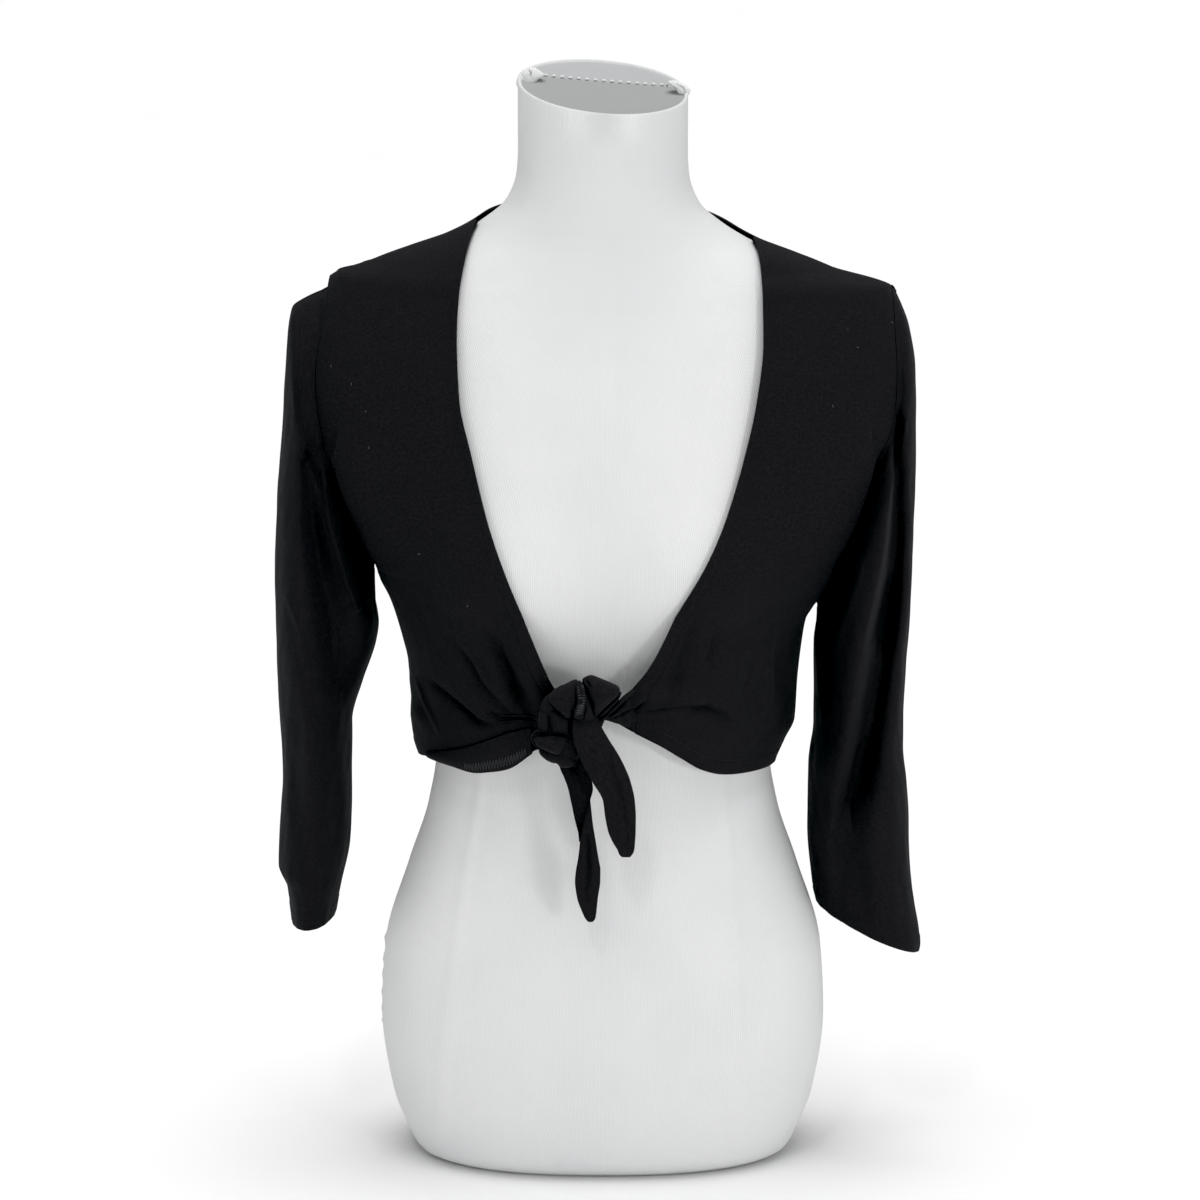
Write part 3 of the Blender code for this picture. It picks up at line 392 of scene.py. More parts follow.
def tilted(x, y, height):
    """A point's final height: the shoulders and the neck's rim aren't quite level."""
    shoulder = -SHOULDER_TILT * x * ease((height - TILT_FROM) / (TILT_TO - TILT_FROM))
    rim = (NECK_SLOPE * y - NECK_TILT * x) * ease((height - SLOPE_FROM) / (NECK_TOP - SLOPE_FROM))
    return height + shoulder + rim


def points_at(side, angle, radius, height):
    """The points at angles round the form, on the given side, one to a row."""
    x, y = side * radius * np.sin(angle), -radius * np.cos(angle)
    return np.stack((x, y, tilted(x, y, height)), axis=-1)


def from_line(line, x, y):
    """How far each place is from a line of points, the share of the line passed at its nearest, and
    whether the place lies on the side nearer the middle."""
    lengths = [math.dist(a, b) for a, b in zip(line, line[1:])]
    nearest, place, run = np.full(np.shape(x), np.inf), np.zeros(np.shape(x)), 0.0
    inward = np.zeros(np.shape(x), bool)
    for (ax, ay), (bx, by), length in zip(line, line[1:], lengths):
        t = np.clip(((x - ax) * (bx - ax) + (y - ay) * (by - ay)) / length ** 2, 0, 1)
        away = np.hypot(x - ax - t * (bx - ax), y - ay - t * (by - ay))
        closer = away < nearest
        nearest = np.where(closer, away, nearest)
        place = np.where(closer, (run + t * length) / sum(lengths), place)
        inward = np.where(closer, x < ax + t * (bx - ax), inward)
        run += length
    return nearest, place, inward


FOLD_START = 0.12       # a fold begins and ends this far into its swell


def crease(folds, across, height):
    """How far creases move the cloth outwards at places seen from the front."""
    total = np.zeros(np.shape(across))
    for line, width_start, width_end, rise, *lean in folds:
        nearest, place, inward = from_line(line, across / MM, height / MM)
        width = width_start + (width_end - width_start) * place
        if lean:
            width = np.where(inward, width * lean[0], width)
        strength = np.sin(math.pi * (FOLD_START + (1 - 2 * FOLD_START) * place)) ** 0.7
        total = total + rise * MM * strength * bump_at(nearest, width)
    return total


def ripple(x, z, phase):
    """Low, uneven waves from 0 to 1, as worn jersey has all over."""
    waves = (np.sin(150 * x + 95 * z + phase) + np.sin(-110 * x + 170 * z + 2.1 * phase)
             + np.sin(240 * x - 60 * z + 3.7 * phase) + 0.7 * np.sin(330 * x + 260 * z + 5.3 * phase))
    return 0.5 + waves / 7.4


def armhole_edge(side, face, height):
    """The (angle, radius) of a panel's outer edge: the armhole, or the side or shoulder seam."""
    share = (height - UNDERARM[side]) / (SHOULDER_TIP - UNDERARM[side])
    depth = ARMHOLE_DEPTH[face] * np.sqrt(np.clip(1 - (2 * share - 1) ** 2, 0, None))
    across = smooth(REACH[side], "reach", height) - WALL
    return np.arctan2(across, -face * depth), np.hypot(across, depth)


def resting(angle, height):
    """Radius of the inside of cloth that lies on the form or hangs from its fullest places."""
    form = form_radius(angle, height - LIFT) + CLEAR
    hanging = oval(angle, smooth(FORM, "half_width", height - LIFT) + CLEAR, facing(CLOTH, angle, height),
                   smooth(CLOTH, "roundness", height))
    return larger(form, hanging)


def panel_creases(side, face, across, height):
    """Creases of the panels on one face, seen with the middle at 0, so both sides' lines meet there."""
    return sum(crease(PANEL_FOLDS[lined, face], across * side * lined, height) for lined in (RIGHT, LEFT))


def cloth_radius(side, face, angle, height):
    """Radius of the inside of the cloth, with its creases."""
    top = np.minimum(height, SHOULDER_TIP)
    edge_angle, edge_radius = armhole_edge(side, face, top)
    base = resting(angle, height)
    turn = angle if face == FRONT else math.pi - angle
    edge_turn = edge_angle if face == FRONT else math.pi - edge_angle
    push = edge_radius - resting(edge_angle, top)
    share = np.clip((turn - PUSH_FROM) / (edge_turn - PUSH_FROM), 0, 1)
    base = base + push * share ** 2 * (1 - ease((height - SHOULDER_TIP) / 0.012))
    base = base + panel_creases(side, face, base * np.sin(angle), height)
    least = form_radius(angle, height - LIFT) + CLEAR
    return np.where(base - least < 2 * BLEND, larger(base, least), base)


def angle_at(side, face, across, height):
    """The angle at which the cloth is that far from the middle."""
    low = np.zeros(np.shape(height))
    high = armhole_edge(side, face, np.minimum(height, SHOULDER_TIP))[0]
    for _ in range(26):
        middle = (low + high) / 2
        short = cloth_radius(side, face, middle, height) * np.sin(middle) < across
        low, high = np.where(short, middle, low), np.where(short, high, middle)
    return (low + high) / 2


def armhole_height(side, turn):
    """Height on the armhole at a turn from 0 at the underarm to pi at the shoulder."""
    return UNDERARM[side] + (SHOULDER_TIP - UNDERARM[side]) * (1 - np.cos(turn)) / 2


def outer_height(side, row):
    """Height of a panel's row at its outer edge, from the hem to the neck point."""
    hem = HEM[side]["height"][-1]
    skirt = hem + (UNDERARM[side] - hem) * row / SKIRT_ROWS
    turn = math.pi * np.clip((row - SKIRT_ROWS) / ARMHOLE_ROWS, 0, 1)
    above = (row - SKIRT_ROWS - ARMHOLE_ROWS) / SHOULDER_ROWS
    shoulder = SHOULDER_TIP + (NECK_POINT[side] - SHOULDER_TIP) * above
    return np.where(row <= SKIRT_ROWS, skirt,
                    np.where(row <= SKIRT_ROWS + ARMHOLE_ROWS, armhole_height(side, turn), shoulder))


HEM_SHARE = 0.07        # rows crowd in this first share of a panel, where the hem's stitches lie
ROW_PLACES = table(
    "share row",
    (0.00, 0), (HEM_SHARE, 1.05), (0.30, SKIRT_ROWS), (0.76, SKIRT_ROWS + ARMHOLE_ROWS), (1.00, ROWS),
)


def row_at(v):
    return np.interp(v, ROW_PLACES["share"], ROW_PLACES["row"])


def front_point(side, u, v):
    """Points on the inside of a front, u from 0 at its front edge to 1 at its outer edge."""
    row = row_at(v)
    outer = outer_height(side, row)
    knot_end = HEM[side]["height"][0]
    share = (outer - UNDERARM[side]) / (SHOULDER_TIP - UNDERARM[side])
    inner = np.where(row < SKIRT_ROWS, knot_end + (TIE_TOP - knot_end) * row / SKIRT_ROWS,
                     np.where(outer <= SHOULDER_TIP, TIE_TOP + (SHOULDER_TIP - TIE_TOP) * share, outer))
    levels, which = np.unique(inner, return_inverse=True)
    start = angle_at(side, FRONT, smooth(NECKLINE[side], "across", levels), levels)[which]
    end = armhole_edge(side, FRONT, np.minimum(outer, SHOULDER_TIP))[0]
    angle = start + (end - start) * u
    height = inner + (outer - inner) * u
    skirt = row < SKIRT_ROWS
    up = TIE_TOP + (UNDERARM[side] - TIE_TOP) * u
    for _ in range(6):
        across = cloth_radius(side, FRONT, angle[skirt], height[skirt]) * np.sin(angle[skirt])
        hem = smooth(HEM[side], "height", across, "across")
        height[skirt] = hem + (up[skirt] - hem) * row[skirt] / SKIRT_ROWS
    radius = cloth_radius(side, FRONT, angle, height)
    joined = end > QUARTER - 1e-6
    angle = angle - joined * SEAM / radius * ease((u - 0.5) * 2)
    return points_at(side, angle, radius, height)


def back_point(u, v):
    """Points on the inside of the back, u from 0 at the right seam to 1 at the left seam."""
    row = row_at(v)
    heights = {side: outer_height(side, row) for side in (RIGHT, LEFT)}
    ends = {side: armhole_edge(side, BACK, np.minimum(heights[side], SHOULDER_TIP))[0] for side in heights}
    height = heights[RIGHT] + (heights[LEFT] - heights[RIGHT]) * u
    middle = np.sin(math.pi * u)
    above = np.clip(row - SKIRT_ROWS - ARMHOLE_ROWS, 0, None) / SHOULDER_ROWS
    height = height + (BACK_HEM - HEM[LEFT]["height"][-1]) * middle * np.clip(1 - row / SKIRT_ROWS, 0, 1)
    rise = BACK_NECK_TOP - NECK_POINT[RIGHT] - (NECK_POINT[LEFT] - NECK_POINT[RIGHT]) * u
    height = height + rise * np.clip(middle, 0, 1) ** 0.42 * above
    share = 1 - np.abs(2 * u - 1)
    points = np.zeros((len(u), 3))
    for side in (RIGHT, LEFT):
        own = (u < 0.5) if side == RIGHT else (u >= 0.5)
        end, up = ends[side][own], height[own]
        angle = end + (math.pi - end) * share[own]
        radius = cloth_radius(side, BACK, angle, up)
        joined = end < QUARTER + 1e-6
        angle = angle + joined * SEAM / radius * ease(1 - share[own])
        points[own] = points_at(side, angle, radius, up)
    return points


def sleeve_frame(side, along):
    """Outer and inner edge of the sleeve's ring at a share of the way to the cuff."""
    tip, pit = SHOULDER_TIP, UNDERARM[side]
    cuff_outer, cuff_inner = CUFF[side]
    middle = (tip + pit) / 2 * (1 - along) + (cuff_outer + cuff_inner) / 2 * along
    rise = (tip - pit) * np.clip(1 - along, 0, 1) ** TURN_POWER + (cuff_outer - cuff_inner) * along
    outer, inner = middle + rise / 2, middle - rise / 2
    return (smooth(SLEEVE_OUTER[side], "reach", outer), outer,
            smooth(SLEEVE_INNER[side], "reach", inner), inner)


def unit(vectors):
    return vectors / np.linalg.norm(vectors, axis=-1, keepdims=True)


def seam_at(side, face, turn):
    """Points on the armhole's edge, and the ways out of the cloth and on from its edge there."""
    height = armhole_height(side, turn)
    angle, radius = armhole_edge(side, face, height)
    step = 0.02 if face == FRONT else -0.02

    def at(spin, up):
        return points_at(side, spin, cloth_radius(side, face, spin, up), up)

    here, before = points_at(side, angle, radius, height), at(angle - step, height)
    onward = unit(here - before)
    climb = at(angle - step, height + 0.004) - at(angle - step, height - 0.004)
    outward = unit(np.cross(onward, climb) * side * (1 if face == FRONT else -1))
    return here, outward, onward


def sleeve_ring(side, face, turn, along):
    """Points of the plain sleeve, before the armhole's curve and the creases are added."""
    outer_x, outer_z, inner_x, inner_z = sleeve_frame(side, along)
    girth = SLEEVE_GIRTH[side]
    front, back = (smooth(girth, each, along, "along") for each in ("front", "back"))
    depth = np.where(face == FRONT, front, back)
    share = (1 - np.cos(turn)) / 2
    return np.stack((side * (inner_x + (outer_x - inner_x) * share), face * depth * np.sin(turn),
                     inner_z + (outer_z - inner_z) * share), axis=-1)


def sleeve_point(side, u, v):
    """Points on the outside of a sleeve: u goes round from the underarm past the front, v down."""
    full = 2 * math.pi * u
    face = np.where(full <= math.pi, FRONT, BACK)
    turn = np.where(full <= math.pi, full, 2 * math.pi - full)
    seams = [seam_at(side, each, turn) for each in (FRONT, BACK)]
    own = (0.5 + 0.5 * ease(np.minimum(turn, math.pi - turn) / 0.35))[:, None]
    is_front = (face == FRONT)[:, None]
    here, outward, onward = (np.where(is_front, a * own + b * (1 - own), b * own + a * (1 - own))
                             for a, b in zip(*seams))
    share = (1 - np.cos(turn)) / 2
    lead = ease(share / 0.25)[:, None]
    onward = onward * lead + np.array((side * 0.25, 0, -1.0)) * (1 - lead)
    edge = here + outward * (WALL + GAP) + onward * GAP * 1.5
    start = sleeve_ring(side, face, turn, np.zeros(len(u)))
    fade = (np.clip(1 - v / SEAM_FADE, 0, 1) ** 2)[:, None]
    spot = sleeve_ring(side, face, turn, v) + (edge - start) * fade
    front, back = (crease(SLEEVE_FOLDS[side, each], np.abs(spot[:, 0]), spot[:, 2]) for each in (FRONT, BACK))
    folds = np.where(face == FRONT, front, back)
    spot[:, 1] += face * folds * np.clip(np.sin(turn), 0, 1) ** 0.5
    spot[:, 2] = tilted(spot[:, 0], spot[:, 1], spot[:, 2])
    near = edge + onward * 0.0020 * (v / 0.01)[:, None]
    leaving = ease(v / 0.035)[:, None]
    return near * (1 - leaving) + spot * leaving


# ---- meshes ----
def read(items, what, width, kind=float):
    values = np.empty(len(items) * width, kind)
    items.foreach_get(what, values)
    return values.reshape(-1, width) if width > 1 else values


def started(name, shape, **sizes):
    """A new mesh of one of bmesh's own shapes."""
    bm = bmesh.new()
    shape(bm, **sizes)
    mesh = bpy.data.meshes.new(name)
    bm.to_mesh(mesh)
    bm.free()
    return mesh


def grid(name, columns, rows):
    """A flat grid as a mesh, with the share across and up of each of its corners."""
    mesh = started(name, bmesh.ops.create_grid, x_segments=columns, y_segments=rows, size=0.5)
    x, y = read(mesh.vertices, "co", 3)[:, :2].T + 0.5
    return mesh, np.rint(x * columns) / columns, np.rint(y * rows) / rows


def set_cloth_map(mesh, across, up):
    """A UV map in metres of cloth, from a value for each corner point."""
    corners = read(mesh.loops, "vertex_index", 1, np.int32)
    cloth = mesh.uv_layers.new(name="cloth")
    cloth.data.foreach_set("uv", np.column_stack((across, up))[corners].ravel())


def place_corners(mesh, points):
    mesh.vertices.foreach_set("co", np.asarray(points, np.float32).ravel())
    mesh.update()


def face_away(mesh, axis=(0, 0)):
    """Turns a skin's faces to look away from the upright axis at (x, y)."""
    middle, normal = read(mesh.polygons, "center", 3), read(mesh.polygons, "normal", 3)
    area = read(mesh.polygons, "area", 1)
    if np.sum(area * np.sum(normal[:, :2] * (middle[:, :2] - axis), axis=1)) < 0:
        mesh.flip_normals()


def close_round(mesh, solid=False):
    """Joins a grid's first and last column, and its poles, to a tube or a closed body."""
    bm = bmesh.new()
    bm.from_mesh(mesh)
    bmesh.ops.remove_doubles(bm, verts=bm.verts, dist=2e-6)
    if solid:
        bmesh.ops.recalc_face_normals(bm, faces=bm.faces)
    bm.to_mesh(mesh)
    bm.free()


def shown(name, mesh, finish, slot, *nodes):
    """The piece made from a mesh, in the scene, standing for the CAD nodes."""
    mesh.shade_smooth()
    mesh.materials.clear()
    mesh.materials.append(finish)
    piece = bpy.data.objects.new(name, mesh)
    bpy.context.collection.objects.link(piece)
    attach(piece, "root")
    if nodes:
        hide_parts(*nodes)
    return piece


def give_wall(piece, outwards, thickness=WALL):
    """Thickens a skin to a wall with a rounded rim."""
    wall = piece.modifiers.new("wall", "SOLIDIFY")
    wall.thickness = thickness
    wall.offset = 1 if outwards else -1
    wall.use_quality_normals = True
    rim = piece.modifiers.new("rim", "BEVEL")
    rim.width = thickness * ROUNDING
    rim.segments = 2
    rim.limit_method = "ANGLE"
    rim.angle_limit = math.radians(60)


def edge_relief(distance, turning):
    """A turned and stitched edge: two layers fill it out, and the stitching pulls a groove."""
    puff = TURNED_FILL * ease((turning - distance) / TURNED_STEP)
    return puff - GROOVE * bump_at(distance - turning, GROOVE_WIDTH)


# ---- finishes ----
class Finish:
    """A material as it is made, from a shader whose look is the same all over."""

    def __init__(self, name, roughness, specular):
        self.made = bpy.data.materials.new(name)
        self.made.use_nodes = True
        self.shader = self.made.node_tree.nodes["Principled BSDF"]
        self.shader.inputs["Specular IOR Level"].default_value = specular
        self.give(self.shader, roughness=roughness)
        where = self.add("TexCoord")
        self.place, self.map = where.outputs["Object"], where.outputs["UV"]

    def give(self, node, **values):
        """Inputs and settings by name, with _ for a space; an input takes a value or a node's output."""
        for key, value in values.items():
            socket = node.inputs.get(key.replace("_", " ").title())
            if socket is None:
                setattr(node, key, value)
            elif isinstance(value, bpy.types.NodeSocket):
                self.made.node_tree.links.new(value, socket)
            elif value is not None:
                socket.default_value = value

    def add(self, kind, **values):
        node = self.made.node_tree.nodes.new("ShaderNode" + kind)
        self.give(node, **values)
        return node

    def noise(self, scale, detail, at=None):
        return self.add("TexNoise", scale=scale, detail=detail, vector=at or self.place).outputs["Fac"]

    def ribs(self, scale, distortion, direction="X"):
        """Even waves along the cloth's own map."""
        return self.add("TexWave", scale=scale, distortion=distortion, detail=1.0, bands_direction=direction,
                        vector=self.map)

    def height(self, start, end, most, axis="Z"):
        """0 below a place on an axis, rising to the most beyond another."""
        parts = self.add("SeparateXYZ", vector=self.place)
        return self.add("MapRange", from_min=start, from_max=end, to_max=most,
                        value=parts.outputs[axis]).outputs["Result"]

    def bump(self, height, strength, distance, under=None):
        """A relief on top of the one under it."""
        return self.add("Bump", strength=strength, distance=distance, height=height,
                        normal=under).outputs["Normal"]

    def tones(self, factor, low, high, start=0.35, end=0.65):
        ramp = self.add("ValToRGB", fac=factor)
        for element, place, colour in zip(ramp.color_ramp.elements, (start, end), (low, high)):
            element.position = place
            element.color = (*colour, 1)
        return ramp.outputs["Color"]

    def coloured(self, colour, normal=None):
        self.give(self.shader, base_color=colour, normal=normal)
        return self.made


def jersey(name, low, high):
    """Fine black jersey: rib columns along the cloth's own map, a grainy surface and soft mottling."""
    cloth = Finish(name, roughness=0.85, specular=0.08)
    cloth.give(cloth.shader, sheen_weight=0.03, sheen_roughness=0.45, sheen_tint=(0.80, 0.82, 0.95, 1))
    columns, courses = cloth.ribs(380, 0.6), cloth.ribs(300, 1.0, "Y")
    grain, crumple = cloth.noise(900, 3.0), cloth.noise(45, 2.0)
    knit = cloth.add("Math", operation="MULTIPLY")
    for number, pattern in enumerate((columns, courses)):
        cloth.made.node_tree.links.new(pattern.outputs["Fac"], knit.inputs[number])
    surface = cloth.bump(crumple, 0.45, 0.0040)
    surface = cloth.bump(grain, 0.35, 0.0004, surface)
    surface = cloth.bump(knit.outputs[0], 0.35, 0.0003, surface)
    stretched = cloth.add("Mapping", scale=(300, 800, 1), vector=cloth.map)
    streaks = cloth.noise(1.0, 3.0, stretched.outputs["Vector"])
    mixed = cloth.add("Mix", data_type="FLOAT", factor=0.5, a=grain, b=streaks)
    return cloth.coloured(cloth.tones(mixed.outputs["Result"], low, high, 0.38, 0.62), surface)


def thread(name, colour):
    """Sewing thread, with a fine twist."""
    made = Finish(name, roughness=0.6, specular=0.3)
    low, high = [c * 0.8 for c in colour], [min(c * 1.15, 1) for c in colour]
    return made.coloured(made.tones(made.noise(2500, 1.0), low, high))


def form_knit(name):
    """The form's white stretch cover: fine upright ribs, with painted shade along their low lines, gathered
    at the neck, and faint stains.
    """
    cover = Finish(name, roughness=0.75, specular=0.22)
    ribs = cover.ribs(262, 0.25)
    gathers = cover.ribs(60, 0.5).outputs["Fac"]
    surface = cover.bump(gathers, cover.height(0.685, 0.735, 0.30), 0.0004)
    surface = cover.bump(ribs.outputs["Fac"], 0.50, 0.0003, surface)
    surface = cover.bump(cover.noise(700, 2.0), 0.18, 0.0003, surface)
    tone = cover.tones(cover.noise(14, 4.0), (0.800, 0.808, 0.814), (0.829, 0.834, 0.835), 0.35, 0.60)
    # painted shade: the ribs' wave darkens the cover's colour a little along the ribs' low lines
    between = cover.add("Mix", data_type="RGBA", blend_type="MULTIPLY", factor=0.12, a=tone,
                        b=ribs.outputs["Color"])
    return cover.coloured(between.outputs["Result"], surface)


def cap_cloth(name):
    """Cloth of the neck cap: the form's white cover painted grey as shade, and painted darker still ahead of
    its seam.
    """
    cloth = Finish(name, roughness=0.80, specular=0.2)
    # painted shade: the colour steps from darker grey ahead of the seam to lighter grey behind it
    half = cloth.height(CAP_SEAM - 0.002, CAP_SEAM + 0.002, 1.0, "Y")
    tone = cloth.tones(half, (0.360, 0.367, 0.367), (0.455, 0.465, 0.470), 0.0, 1.0)
    return cloth.coloured(tone, cloth.bump(cloth.noise(800, 2.0), 0.3, 0.0004))


def plain_floor(name):
    paint = Finish(name, roughness=0.9, specular=0.0)
    return paint.coloured(paint.tones(paint.noise(3, 1.0), (0.93, 0.93, 0.93), (0.95, 0.95, 0.95)))


# ---- the dress form ----
FORM_COLUMNS, FORM_ROWS = 228, 206
BASE_ROWS, RIM_ROWS = 10, 14    # rows under the base and over the rim
SIDE_SEAM, SIDE_SEAM_WIDTH = 0.0005, 0.0012     # depth and width of the cover's side seams
PUCKER = 0.0016         # rise of the puckers in the right side seam
PANEL_RIDGE, PANEL_RIDGE_WIDTH = 0.0010, 0.0036
CHEST_GROOVE = 0.0008   # depth of the faint line down the chest and of the crease below the neck
CHEST_LINE, CHEST_LINE_WIDTH = 0.0085, 0.0045
NECK_CREASE = 0.655     # height of that crease
GATHERING = 1.3         # how much closer the ribs run where the cover is gathered at the neck's front
CAP_SEAM = 0.016        # how far behind the axis the cap's seam runs
CAP_SEAM_ENDS = (-0.0395, 0.0405)
CAP_STITCHES, CAP_STITCH_HALF, CAP_THREAD = 15, (0.0016, 0, 0.0001), 0.0014
CAP_EDGE = 0.0006       # how far the cap's edge lies below the rim
CAP_WALL, CAP_RADIUS = 0.0010, 0.0550
PIN_HOLE = (0.0435, 0.0130)     # where a pin has left a hole in the cap; its dark is painted shade, a black mark laid on the cap
SIDE_SEAM_PUCKERS = (0.0890, 0.0990, 0.1110, 0.1240, 0.1360, 0.1500)
PANEL_LINE = table(     # where the form's front panel meets its side panels
    "height right left",
    (53.4, 113.9, 99.4), (111.5, 108.6, 95), (162, 102.7, 91.5),
    (197.9, 97.6, 89.5), (233.6, 91.9, 87), (283.3, 84, 82.1),
    (420, 85, 85), (600, 90, 90),
)

RIM = table(            # the lip, from the rim in under the cap
    "ring inset drop",
    (0, 0, 0), (1, 0.2, -0.7), (2, 0.6, -1.2), (3, 1.1, -1.4), (4, 1.7, -1.2), (5, 2.2, -0.7), (6, 2.6, 0.2),
    (7, 2.8, 1.4), (8, 3.0, 3.0), (9, 9.0, 7.0), (10, 20, 9.5), (14, 40, 12),
)


def form_heights(count):
    """Heights spaced evenly along the form's side, so the shoulders get their share."""
    fine = np.linspace(0, NECK_TOP, 1600)
    side = smooth(FORM, "half_width", fine)
    run = np.concatenate(([0], np.cumsum(np.hypot(np.diff(fine), np.diff(side)))))
    return np.interp(np.linspace(0, run[-1], count), run, fine), run[-1]


def dress_form(finish):
    """The cover: under the base, up the side, over the rim and in under the cap."""
    rows = BASE_ROWS + FORM_ROWS + RIM_ROWS
    mesh, u, v = grid("form_cover", FORM_COLUMNS, rows)
    row = np.rint(v * rows).astype(int)
    heights, run = form_heights(FORM_ROWS + 1)
    spin = math.pi * (2 * u - 1)
    side, angle = np.where(spin < 0, -1, 1), np.abs(spin)
    level = heights[np.clip(row - BASE_ROWS, 0, FORM_ROWS)]
    radius = form_radius(angle, level)
    seam = bump_at((angle - QUARTER) * radius, SIDE_SEAM_WIDTH)
    radius = radius - SIDE_SEAM * seam * ease((level - 0.02) / 0.02) * ease((0.70 - level) / 0.03)
    for pucker in SIDE_SEAM_PUCKERS:
        near = bump_at((angle - QUARTER - 0.02) * radius, 0.006) * bump_at(level - pucker, 0.0032)
        radius = radius + PUCKER * near * (side < 0)
    across = radius * np.sin(angle)
    line = np.where(side < 0, smooth(PANEL_LINE, "right", level), smooth(PANEL_LINE, "left", level))
    ahead = (angle < QUARTER) * ease((0.40 - level) / 0.05) * ease((level - 0.02) / 0.03)
    radius = radius + PANEL_RIDGE * bump_at(across - line, PANEL_RIDGE_WIDTH) * ahead
    middle_groove = bump_at(side * across - CHEST_LINE, CHEST_LINE_WIDTH) * (angle < QUARTER)
    radius = radius - CHEST_GROOVE * middle_groove * ease((level - 0.50) / 0.05) * ease((0.66 - level) / 0.02)
    neck_crease = bump_at(level - NECK_CREASE, 0.0030) * bump_at(across, 0.040) * (angle < QUARTER)
    radius = radius - CHEST_GROOVE * neck_crease
    points = points_at(side, angle, radius, level)
    under = row < BASE_ROWS
    points[under] *= (row[under, None] / BASE_ROWS) ** 0.9
    points[under, 2] = 0
    inside = row - BASE_ROWS - FORM_ROWS
    inset, drop = (np.interp(inside, RIM["ring"], RIM[column]) for column in ("inset", "drop"))
    top = points_at(side, angle, form_radius(angle, NECK_TOP) - inset, np.full(len(u), NECK_TOP))
    top[:, 2] -= drop
    points[inside > 0] = top[inside > 0]
    place_corners(mesh, points)
    gathered = 1 + GATHERING * bump_at(spin, 0.30) * ease((level - 0.715) / 0.035)
    set_cloth_map(mesh, spin * 0.13 * gathered, v * run)
    close_round(mesh)
    face_away(mesh)
    return shown("form_cover", mesh, finish, "form_cover", "dress_form")


def neck_cap(finish, white):
    """The cap let into the neck, sewn across behind its middle."""
    mesh, u, v = grid("cap", 160, 40)
    spin = math.pi * (2 * u - 1)
    side, angle = np.where(spin < 0, -1, 1), np.abs(spin)
    radius = (form_radius(angle, NECK_TOP) - LIP + 0.0004) * v
    points = points_at(side, angle, radius, np.full(len(u), NECK_TOP))
    dip = CAP_EDGE + DISH * np.clip(1 - v ** 2, 0, 1)
    points[:, 2] -= dip + 0.0005 * bump_at(points[:, 1] - CAP_SEAM, 0.0011)
    points[:, 2] += 0.0004 * (points[:, 1] > CAP_SEAM)
    place_corners(mesh, points)
    set_cloth_map(mesh, points[:, 0], points[:, 1])
    close_round(mesh)
    if read(mesh.polygons, "normal", 3)[:, 2].sum() < 0:
        mesh.flip_normals()
    give_wall(shown("neck_cap_cloth", mesh, finish, "cap_cloth", "neck_cap"), False, CAP_WALL)
    x, y = np.linspace(*CAP_SEAM_ENDS, CAP_STITCHES), np.full(CAP_STITCHES, CAP_SEAM)
    z = tilted(x, y, NECK_TOP) - DISH * (1 - (x ** 2 + y ** 2) / CAP_RADIUS ** 2) + 0.0003
    middle, up = np.stack((x, y, z), axis=-1), np.tile((0.0, 0.0, 1.0), (CAP_STITCHES, 1))
    strokes("cap_seam_stitches", middle - CAP_STITCH_HALF, middle + CAP_STITCH_HALF, up, CAP_THREAD, white,
            "cap_cloth")


# ---- threads and fibres ----
def strokes(name, starts, ends, normals, thick, finish, slot="jersey"):
    """Short rounded threads, each from a start to an end, as one mesh of copies of one shape."""
    shape = started("thread_shape", bmesh.ops.create_uvsphere, u_segments=6, v_segments=4, radius=0.5)
    copies = bmesh.new()
    for _ in range(len(starts)):
        copies.from_mesh(shape)
    mesh = bpy.data.meshes.new(name)
    copies.to_mesh(mesh)
    copies.free()
    x, y, z = read(shape.vertices, "co", 3).T[:, None, :, None]
    length = np.linalg.norm(ends - starts, axis=1, keepdims=True)
    along = (ends - starts) / length
    beside = unit(np.cross(normals, along))
    above = np.cross(along, beside)
    points = ((starts + ends) / 2)[:, None] + z * (along * length)[:, None]
    points = points + x * (beside * thick)[:, None] + y * (above * thick)[:, None]
    place_corners(mesh, points.reshape(-1, 3))
    set_cloth_map(mesh, *points.reshape(-1, 3)[:, :2].T)
    bpy.data.meshes.remove(shape)
    return shown(name, mesh, finish, slot)


def outside(place, u, v, lift=0.0, wall=WALL, axis=(0, 0)):
    """Points on a panel's outer face, a little above it, and which way is out."""
    u, v = np.asarray(u, float), np.asarray(v, float)
    step_u, step_v = np.where(u > 0.5, -2e-3, 2e-3), np.where(v > 0.5, -2e-3, 2e-3)
    here = place(u, v)
    normal = unit(np.cross(place(u + step_u, v) - here, place(u, v + step_v) - here))
    outwards = np.sum(normal[:, :2] * (here[:, :2] - axis), axis=1) < 0
    normal[outwards] *= -1
    return here + normal * (wall + lift), normal


def spaced(path, pitch):
    """Where along a path of points equal steps fall, as fractional places in it."""
    run = np.concatenate(([0], np.cumsum(np.linalg.norm(np.diff(path, axis=0), axis=1))))
    return np.interp(np.arange(pitch, run[-1] - pitch, pitch), run, np.arange(len(path)))


def along(values, places):
    return np.stack([np.interp(places, np.arange(len(values)), values[:, i]) for i in range(3)], axis=-1)


def stitch_row(name, path, normals, finish, pitch=0.0028, length=0.0019, thick=0.00045):
    """A straight row of stitches along a path on the cloth."""
    places = spaced(path, pitch)
    middle, normal = along(path, places), unit(along(normals, places))
    way = unit(along(path, places + 0.5) - along(path, places - 0.5))
    return strokes(name, middle - way * length / 2, middle + way * length / 2, normal, thick, finish)


